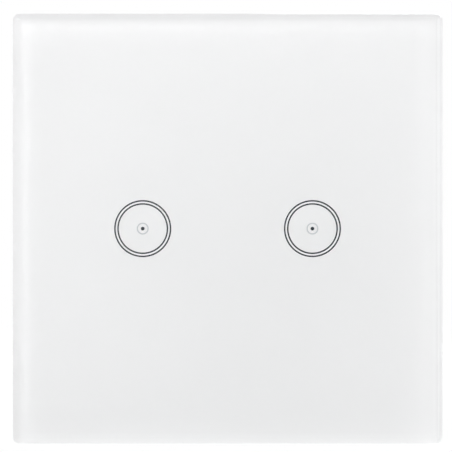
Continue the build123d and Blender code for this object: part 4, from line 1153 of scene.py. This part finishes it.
            # From the outermost upper lead to the touch field, and from light to light
            paths.append(track((side_leads[0], top), (side * FIELD, field_foot)))
            ring = sorted((at for at in lights if at.x * side > 0), key=lambda at: at.z)
            for start, end in zip(ring, ring[1:]):
                paths.append(track((start.x + light_end, start.z), (end.x + light_end, end.z)))
        low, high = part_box("radio_board")
        # From the edges of the radio module to the small chips beside it, and on to test pads
        for at in upper:
            side, edge = (1, high.x) if at.x > 0 else (-1, low.x)
            bay = (edge + side * 0.3 * MM, at.z + 1.5 * MM)
            paths.append(track((at.x, at.z + CHIP_END), bay))
            paths.append(track((at.x, at.z - CHIP_END), (side * upper_pads, at.z - 4 * MM)))
        # From the pins in lanes up both sides of the radio module, the middle pins next to it
        for i, pin in enumerate(pins):
            side, edge = (-1, low.x) if i < 3 else (1, high.x)
            lanes_out = 2 - min(i, 5 - i)
            lane = edge + side * (lane_start + lane_step * lanes_out)
            bay = low.z + bay_start + bay_step * lanes_out
            paths.append(track((pin.x, pin.z + 0.5 * MM), (lane, low.z - 1.6 * MM))
                         + [(lane, bay), (edge + side * 0.2 * MM, bay)])
        return paths

    def small_chips(self):
        """The middles of the small chips below and above the middle, each from left to right."""
        chips = [middle_of(box) for box in solid_boxes("board_passives")]
        chips.sort(key=lambda at: (at.x, at.z))
        return [at for at in chips if at.z < 0], [at for at in chips if at.z > 0]

    def add_outlines(self, look, face):
        """Printed outlines round the parts, and bare test pads."""
        lower, upper = self.small_chips()
        chip = middle_of(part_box("touch_chip"))
        header = middle_of(solid_boxes("header_pins")[0])
        radio = middle_of(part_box("radio_board"))
        frames = [frame_path((at.x, at.z), 3.0 * MM, 1.9 * MM) for at in lower]
        frames += [frame_path((at.x, at.z), 1.9 * MM, 3.0 * MM) for at in upper]
        frames.append(frame_path((chip.x, chip.z), 10.6 * MM, 7.2 * MM))
        frames.append(frame_path((0, header.z), 16.0 * MM, 3.2 * MM))
        frames.append(frame_path((0, radio.z), 24.9 * MM, 16.6 * MM))
        frames += [circle_path((x, 0), 9.2 * MM, 72) for x in (-FIELD, FIELD)]
        add_strips("part_outlines", frames, look.outline_width, INK_HEIGHT, (0, face, 0),
                   printed_ink("outline ink", look.outline_ink), closed=True)
        pad_places = ((22, -17.6), (22, -14), (22, -21.2), (25, 11.4), (25, 15), (25, 18.6))
        pads = [circle_path((side * x * MM, z * MM), 0.55 * MM, 20) for side in (-1, 1)
                for x, z in pad_places]
        add_strips("test_pads", pads, 0.5 * MM, 0.03 * MM, (0, face, 0),
                   plated_metal("tinned pads", TIN, cloud=0.4 * MM), closed=True)


class LIGHTSWITCH_OT_power_board(bpy.types.Operator):
    """Finish the power board with its tracks, outlines and solder joints."""
    bl_idname = "lightswitch.power_board"
    bl_label = "Power board"

    def execute(self, context):
        look = context.scene.switch_boards
        dress("power_board", circuit_board("green solder mask", look.power_mask), 0.06 * MM)
        bars = sorted(lead_tips(["terminal_bars"]))
        yokes = lead_tips(["relay_yokes"])
        tips = lead_tips(["relay_terminals"])
        row = yokes[0][1]
        strips = [tip for tip in tips if abs(tip[1] - row) < 1 * MM]
        coils = [tip for tip in tips if abs(tip[1] - row) >= 1 * MM]
        others = coils + lead_tips((
            "film_capacitor", "fuse", "main_capacitor", "output_capacitor", "inductor",
            "varistor", "transformer_pins"))
        loads = [track(bar, tip) for bar, tip in zip(bars, sorted(yokes + strips))]
        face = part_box("power_board")[0].y
        masked = circuit_board("masked power copper",
                               tuple(c * 1.5 + 0.012 for c in look.power_mask))
        add_strips("load_tracks", loads, look.power_width, look.track_height, (0, face, 0),
                   masked)
        add_strips("power_board_tracks", self.short_paths(others), 2.4 * look.track_width,
                   look.track_height, (0, face, 0), masked)
        add_joints("power_solder", others, face, solder_metal("power solder"), pad=0.75 * MM,
                   lead=0.32 * MM, height=0.75 * MM)
        add_joints("load_solder", bars + yokes + strips, face, solder_metal("load solder"),
                   pad=1.15 * MM, lead=0.62 * MM, height=0.85 * MM)
        self.add_outlines(look)
        return {"FINISHED"}

    def short_paths(self, tips):
        """Tracks from each lead to the nearest one that is left, where that is near enough."""
        longest = 9 * MM
        left = sorted(tips)
        at = left.pop(0)
        paths = []
        while left:
            near = min(left, key=lambda other: math.dist(at, other))
            left.remove(near)
            if math.dist(at, near) < longest:
                paths.append(track(at, near))
            at = near
        return paths

    def add_outlines(self, look):
        """Printed outlines round the power parts."""
        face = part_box("power_board")[1].y
        frames = []
        for node, spare in (("film_capacitor", 0.5), ("fuse", 0.5), ("transformer_bobbin", 0.4),
                            ("varistor", 0.4)):
            low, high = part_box(node)
            at = middle_of((low, high))
            frames.append(frame_path((at.x, at.z), high.x - low.x + spare * MM,
                                     high.z - low.z + spare * MM))
        for node in ("main_capacitor", "output_capacitor", "inductor"):
            low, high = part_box(node)
            at = middle_of((low, high))
            frames.append(circle_path((at.x, at.z), (high.x - low.x) / 2 + 0.3 * MM))
        add_strips("power_outlines", frames, look.outline_width, INK_HEIGHT, (0, face, 0),
                   printed_ink("power outline ink", look.outline_ink),
                   closed=True)


class LIGHTSWITCH_OT_relays(bpy.types.Operator):
    """Finish both relays, with their coils wound turn by turn."""
    bl_idname = "lightswitch.relays"
    bl_label = "Relays"

    def execute(self, context):
        iron = plated_metal("plated iron", (0.50, 0.50, 0.50), roughness=0.34, cloud=1.1 * MM)
        black = moulded_plastic("relay black", BLACK, roughness=0.4)
        spring = plated_metal("relay spring", (0.70, 0.52, 0.30), roughness=0.24,
                              cloud=0.8 * MM)
        contacts = plated_metal("contact metal", (0.76, 0.58, 0.34), roughness=0.26,
                                cloud=0.8 * MM)
        cover = moulded_plastic("relay cover", context.scene.switch_plastic.cover,
                                roughness=0.3, grain=0.1 * MM, depth=0.003 * MM)
        dress("relay_bases", black, 0.1 * MM)
        dress("relay_bobbins", black, 0.1 * MM)
        dress("relay_yokes", iron, 0.12 * MM)
        dress("relay_cores", iron, 0.1 * MM)
        dress("relay_springs", spring)
        dress("relay_terminals", contacts, 0.06 * MM)
        for side in SIDES:
            dress(f"relay_armature_{side}", iron, 0.06 * MM)
        dress("relay_covers", cover, 0.28 * MM)
        self.add_coils(context.scene.switch_wires)
        return {"FINISHED"}

    def add_coils(self, wires):
        """Close turns of enamelled wire over the lower layers of each coil."""
        copper = enamelled_copper("coil copper")
        wire = wires.coil_wire / 2
        boxes = solid_boxes("relay_coils")
        low, high = boxes[0]
        radius = (high.x - low.x) / 2 - wire
        length = high.y - low.y - 2 * wire
        core = 2.0 * MM
        build = bmesh.new()
        for box in boxes:
            at = middle_of(box)
            section = ((core, low.y), (radius, low.y), (radius, high.y), (core, high.y),
                       (core, low.y))
            bridge_rings(build, [[(x, y, z) for x, z in circle_path((at.x, at.z), reach, 48)]
                                 for reach, y in section])
        bmesh.ops.remove_doubles(build, verts=build.verts, dist=0.001 * MM)
        bmesh.ops.recalc_face_normals(build, faces=build.faces)
        middles = [middle_of(box) for box in boxes]
        mesh = wound(as_mesh("coil_layers", build),
                     [(at.x, low.y + wire, at.z) for at in middles], {
                         "Turns": length / (2 * wire), "Radius": radius, "Length": length,
                         "Wire radius": wire, "Wire sides": 8, "Steps": 40, "Material": copper})
        smooth(mesh)
        add_piece("relay_coil_turns", mesh, copper, BASE, ["relay_coils"])


class LIGHTSWITCH_OT_terminals(bpy.types.Operator):
    """Finish the terminal block, and cut threads and slots on its screws."""
    bl_idname = "lightswitch.terminals"
    bl_label = "Terminals"

    def execute(self, context):
        look = context.scene.switch_plastic
        green = moulded_plastic("green terminal block", look.terminal)
        brass = plated_metal("tinned brass", (0.80, 0.70, 0.50), roughness=0.28,
                             cloud=0.9 * MM)
        zinc = plated_metal("zinc cage", (0.63, 0.64, 0.66), cloud=1.0 * MM)
        screw = plated_metal("zinc screw", (0.60, 0.61, 0.62), roughness=0.26, cloud=0.8 * MM)
        dress("terminal_block", green, 0.1 * MM)
        dress("terminal_bars", brass, 0.1 * MM)
        for i in TERMINALS:
            dress(f"terminal_cage_{i}", zinc, 0.14 * MM)
            self.add_screw(context.scene.switch_wires, f"terminal_screw_{i}", screw)
        return {"FINISHED"}

    def add_screw(self, wires, node, material):
        """A slotted screw with a turned head, a threaded shank and a tapered tip."""
        low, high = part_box(node)
        at = middle_of((low, high))
        under_head = high.y - 1.8 * MM
        core = 1.45 * MM - wires.thread_depth
        start = low.y + 0.45 * MM
        length = under_head - start - 0.15 * MM
        blank = in_scene("blank", self.screw_blank(low, high, core, under_head))
        cutter = in_scene("cutter", self.slot_cutter(high.y))
        slot = blank.modifiers.new("slot", "BOOLEAN")
        slot.operation = "DIFFERENCE"
        slot.object = cutter
        slot.solver = "EXACT"
        slot.use_self = True
        cut_blank = evaluated(blank)
        bpy.data.objects.remove(cutter)
        mesh = wound(cut_blank, [(0, start, 0)], {
            "Turns": length / wires.thread_pitch, "Radius": core, "Length": length,
            "Wire radius": wires.thread_depth, "Wire sides": 4, "Steps": 32,
            "Material": material})
        mesh.transform(Matrix.Translation((at.x, 0, at.z)))
        mesh.set_sharp_from_angle(angle=CRISP_ANGLE)
        add_piece(f"{node}_threaded", mesh, material, BODIES[node], [node])

    def screw_blank(self, low, high, core, under_head):
        """A turned screw with no thread and no slot, from points of radius and depth."""
        head = (high.x - low.x) / 2
        bend, small_bend = 0.25 * MM, 0.1 * MM
        taper_in, taper_length = 0.35 * MM, 0.4 * MM
        profile = [(core - taper_in, low.y), (core, low.y + taper_length), (core, under_head),
                   (head - small_bend, under_head), (head, under_head + small_bend),
                   (head, high.y - bend)]
        for i in range(1, 5):
            angle = math.pi / 8 * i
            profile.append((head - bend * (1 - math.cos(angle)),
                            high.y - bend * (1 - math.sin(angle))))
        return lofted("screw", [[(x, y, z) for x, z in circle_path((0, 0), radius, 48)]
                                for radius, y in profile])

    def slot_cutter(self, top):
        """A bar right across the head and one more upright, as on the CAD screw."""
        build = bmesh.new()
        for width, rise in ((5 * MM, 0.7 * MM), (0.7 * MM, 1.95 * MM)):
            made = bmesh.ops.create_cube(build, size=1.0)["verts"]
            bmesh.ops.scale(build, vec=(width, 1.8 * MM, rise), verts=made)
            bmesh.ops.translate(build, vec=(0, top, 0), verts=made)
        return as_mesh("slots", build)


class LIGHTSWITCH_OT_power_parts(bpy.types.Operator):
    """Finish the capacitors, the transformer and the other parts on the power board."""
    bl_idname = "lightswitch.power_parts"
    bl_label = "Power parts"

    def execute(self, context):
        dress("film_capacitor", leaded_part(
            "yellow case", (0.72, 0.43, 0.03), in_power_board, roughness=0.28, coat=0.2))
        dress("fuse", leaded_part(
            "brown case", (0.14, 0.055, 0.022), in_power_board, roughness=0.3, coat=0.2))
        dress("varistor", leaded_part(
            "blue dip", (0.02, 0.09, 0.36), in_power_board, roughness=0.25, grain=0.9 * MM,
            depth=0.05 * MM, coat=0.4))
        dress("inductor", leaded_part(
            "inductor sleeve", (0.03, 0.03, 0.034), in_power_board, roughness=0.3,
            grain=0.4 * MM, depth=0.008 * MM, coat=0.3))
        dress("bridge_rectifier", chip_with_leads("bridge case", "bridge_rectifier"), 0.08 * MM)
        dress("main_capacitor", capacitor_can(
            "main sleeve", "main_capacitor", (0.018, 0.02, 0.03)))
        dress("output_capacitor", capacitor_can(
            "output sleeve", "output_capacitor", (0.02, 0.05, 0.035)))
        dress("transformer_core", sintered_ferrite("ferrite"), 0.18 * MM)
        dress("transformer_bobbin", moulded_plastic("bobbin black", BLACK, roughness=0.4),
              0.06 * MM)
        dress("transformer_pins", plated_metal("tinned pins", TIN, cloud=0.5 * MM))
        dress("transformer_winding", wound_tape("yellow tape", (0.80, 0.55, 0.06)), 0.1 * MM)
        return {"FINISHED"}


class LIGHTSWITCH_OT_stage(bpy.types.Operator):
    """Set the camera, the floor, the lamps and the light from all round."""
    bl_idname = "lightswitch.stage"
    bl_label = "Stage"

    def execute(self, context):
        look = context.scene.switch_stage
        scene = context.scene
        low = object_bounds()[0]
        self.add_camera(scene, look, low[1])
        self.add_floor(low[2] - look.floor_gap)
        for name, power, size, place in (
                ("key lamp", look.key, 0.5, (-0.45, -0.6, 0.55)),
                ("fill lamp", look.fill, 0.6, (0.7, -0.5, 0.15)),
                ("back lamp", look.back, 0.6, (0.3, 0.7, 0.5))):
            lamp = bpy.data.lights.new(name, "AREA")
            lamp.shape = "DISK"
            lamp.size = size
            lamp.energy = power
            lamp_object = in_scene(name, lamp)
            lamp_object.location = place
            lamp_object.rotation_euler = (-Vector(place)).to_track_quat("-Z", "Y").to_euler()
        self.light_world(scene, look.ambient)
        scene.view_settings.view_transform = "Standard"
        return {"FINISHED"}

    def add_camera(self, scene, look, front):
        """A camera straight in front, as far off as its lens needs for the width of the view."""
        camera = bpy.data.cameras.new("camera")
        camera.lens = look.lens
        camera.sensor_width = 36.0
        camera.clip_start = 0.01
        camera.clip_end = 50
        distance = look.view_width * look.lens / camera.sensor_width
        scene.camera = in_scene("camera", camera)
        scene.camera.location = (look.aim_right, front - distance, look.aim_up)
        scene.camera.rotation_euler = UPRIGHT

    def add_floor(self, height):
        """A wide pale floor that keeps the shadow of the switch but shows as white."""
        half, fade_start, fade_end = 4.0, 0.25, 0.6
        build = bmesh.new()
        build.faces.new([build.verts.new((x, y, height))
                         for x, y in frame_path((0, 0), 2 * half, 2 * half)])
        floor = in_scene("floor", as_mesh("floor", build))
        material, tree, place = start_material("pale floor")
        paper = speckle(tree, place, 40 * MM, 2.0)
        matt = add_node(tree, "ShaderNodeBsdfDiffuse", {
            "Color": tinted(tree, paper, (0.9, 0.9, 0.9), 0.01)})
        white = add_node(tree, "ShaderNodeEmission", {"Strength": 1.05})
        ray = add_node(tree, "ShaderNodeLightPath")
        mixed = add_node(tree, "ShaderNodeMixShader", {
            0: maths(tree, "MULTIPLY", self.seen_rays(tree, ray), 0.8),
            1: matt.outputs[0], 2: white.outputs[0]})
        # A mirror image shows the room alone, so that no horizon crosses the glass, and the floor
        # fades out far from the switch and isn't there when it is seen from below
        reach = vector_maths(tree, "LENGTH", place).outputs["Value"]
        far = ranged(tree, reach, fade_start, fade_end)
        under = add_node(tree, "ShaderNodeNewGeometry").outputs["Backfacing"]
        clear = maths(tree, "MAXIMUM", maths(tree, "MAXIMUM", far, under),
                      self.mirror_rays(tree, ray))
        gone = add_node(tree, "ShaderNodeBsdfTransparent")
        whole = add_node(tree, "ShaderNodeMixShader", {
            0: clear, 1: mixed.outputs[0], 2: gone.outputs[0]})
        add_node(tree, "ShaderNodeOutputMaterial", {"Surface": whole.outputs[0]})
        floor.data.materials.append(material)
        floor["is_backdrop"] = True

    def seen_rays(self, tree, ray):
        """1 for rays that show the background: from the camera, by reflection or through glass,
        and 0 for those that light a matt surface."""
        seen = maths(tree, "ADD", ray.outputs["Is Camera Ray"], ray.outputs["Is Glossy Ray"])
        for operation, output in (("ADD", "Is Transmission Ray"), ("SUBTRACT", "Diffuse Depth")):
            seen = maths(tree, operation, seen, ray.outputs[output])
            seen.node.use_clamp = True
        return seen

    def mirror_rays(self, tree, ray):
        """1 for rays that bounce off a gloss."""
        return maths(tree, "MULTIPLY", ray.outputs["Is Glossy Ray"],
                     ray.outputs["Is Reflection Ray"])

    def light_world(self, scene, ambient):
        """Even light from all round, with a white background where it is seen."""
        world = bpy.data.worlds.new("studio")
        world.use_nodes = True
        tree = world.node_tree
        tree.nodes.clear()
        light, seen, mirrored = (
            add_node(tree, "ShaderNodeBackground", {
                "Color": (1, 1, 1, 1), "Strength": strength}).outputs[0]
            for strength in (ambient, 1.0, self.studio_room(tree)))
        ray = add_node(tree, "ShaderNodeLightPath")
        background = add_node(tree, "ShaderNodeMixShader", {
            0: self.mirror_rays(tree, ray), 1: seen, 2: mirrored})
        mixed = add_node(tree, "ShaderNodeMixShader", {
            0: self.seen_rays(tree, ray), 1: light, 2: background.outputs[0]})
        add_node(tree, "ShaderNodeOutputWorld", {"Surface": mixed.outputs[0]})
        scene.world = world

    def studio_room(self, tree):
        """The brightness that a gloss sees: in front of the switch a wide soft light with a dark
        middle and a faintly darker ring in it, and white behind the switch."""
        # How far off the light's middle, and half the brightness there
        levels = ((0.02, 0.25), (0.1, 0.62), (0.26, 0.66), (0.38, 0.56), (0.6, 0.62),
                  (0.95, 0.64))
        light_middle = (0.02, 0, -0.02)
        way = add_node(tree, "ShaderNodeTexCoord").outputs["Generated"]
        off = vector_maths(tree, "SUBTRACT", way, light_middle).outputs[0]
        flat = vector_maths(tree, "MULTIPLY", off, (1, 0, 1)).outputs[0]
        reach = vector_maths(tree, "LENGTH", flat).outputs["Value"]
        ramp = add_node(tree, "ShaderNodeValToRGB", {"Fac": reach})
        stops = ramp.color_ramp.elements
        while len(stops) < len(levels):
            stops.new(0.5)
        for stop, (place, level) in zip(stops, levels):
            stop.position = place
            stop.color = (level, level, level, 1)
        room = maths(tree, "MULTIPLY", ramp.outputs[0], 2.0)
        # The room is dark in front on the right and above, and lightest low down on the left
        darkest = 0.15
        right = ranged(tree, part_of_place(tree, way, "X"), 0.2, 0.45, 1.0, darkest)
        above = ranged(tree, part_of_place(tree, way, "Z"), 0.15, 0.7, 1.0, darkest)
        shaded = maths(tree, "MULTIPLY", right, above)
        behind = maths(tree, "GREATER_THAN", part_of_place(tree, way, "Y"), 0.0)
        whole = between(tree, behind, maths(tree, "MULTIPLY", room, shaded), 1.0)
        lean = vector_maths(tree, "DOT_PRODUCT", way, (0.12, 0, 0.45)).outputs["Value"]
        return maths(tree, "MULTIPLY", whole, maths(tree, "SUBTRACT", 0.93, lean))


class LIGHTSWITCH_PT_panel(bpy.types.Panel):
    """The switch's steps and settings in the sidebar."""
    bl_label = "Light switch"
    bl_idname = "LIGHTSWITCH_PT_panel"
    bl_space_type = "VIEW_3D"
    bl_region_type = "UI"
    bl_category = "Light switch"

    def draw(self, context):
        for group, _ in SETTINGS:
            settings = getattr(context.scene, group)
            box = self.layout.box()
            for name in settings.bl_rna.properties.keys():
                if name not in ("rna_type", "name"):
                    box.prop(settings, name)
        for step in STEPS:
            self.layout.operator(step.bl_idname)


SETTINGS = (("switch_glass", GlassSettings), ("switch_plastic", PlasticSettings),
            ("switch_boards", BoardSettings), ("switch_wires", WireSettings),
            ("switch_stage", StageSettings))
STEPS = (LIGHTSWITCH_OT_glass, LIGHTSWITCH_OT_housing, LIGHTSWITCH_OT_touch_board,
         LIGHTSWITCH_OT_power_board, LIGHTSWITCH_OT_relays, LIGHTSWITCH_OT_terminals,
         LIGHTSWITCH_OT_power_parts, LIGHTSWITCH_OT_stage)


def register():
    """Add the settings, the operators and the panel."""
    for name, settings in SETTINGS:
        bpy.utils.register_class(settings)
        setattr(bpy.types.Scene, name, bpy.props.PointerProperty(type=settings))
    for item in (*STEPS, LIGHTSWITCH_PT_panel):
        bpy.utils.register_class(item)


def unregister():
    """Take them away again."""
    for item in (LIGHTSWITCH_PT_panel, *reversed(STEPS)):
        bpy.utils.unregister_class(item)
    for name, settings in reversed(SETTINGS):
        delattr(bpy.types.Scene, name)
        bpy.utils.unregister_class(settings)


def main():
    """Make every piece and the stage."""
    register()
    for step in STEPS:
        group, action = step.bl_idname.split(".")
        getattr(getattr(bpy.ops, group), action)()


if __name__ == "__main__":
    main()
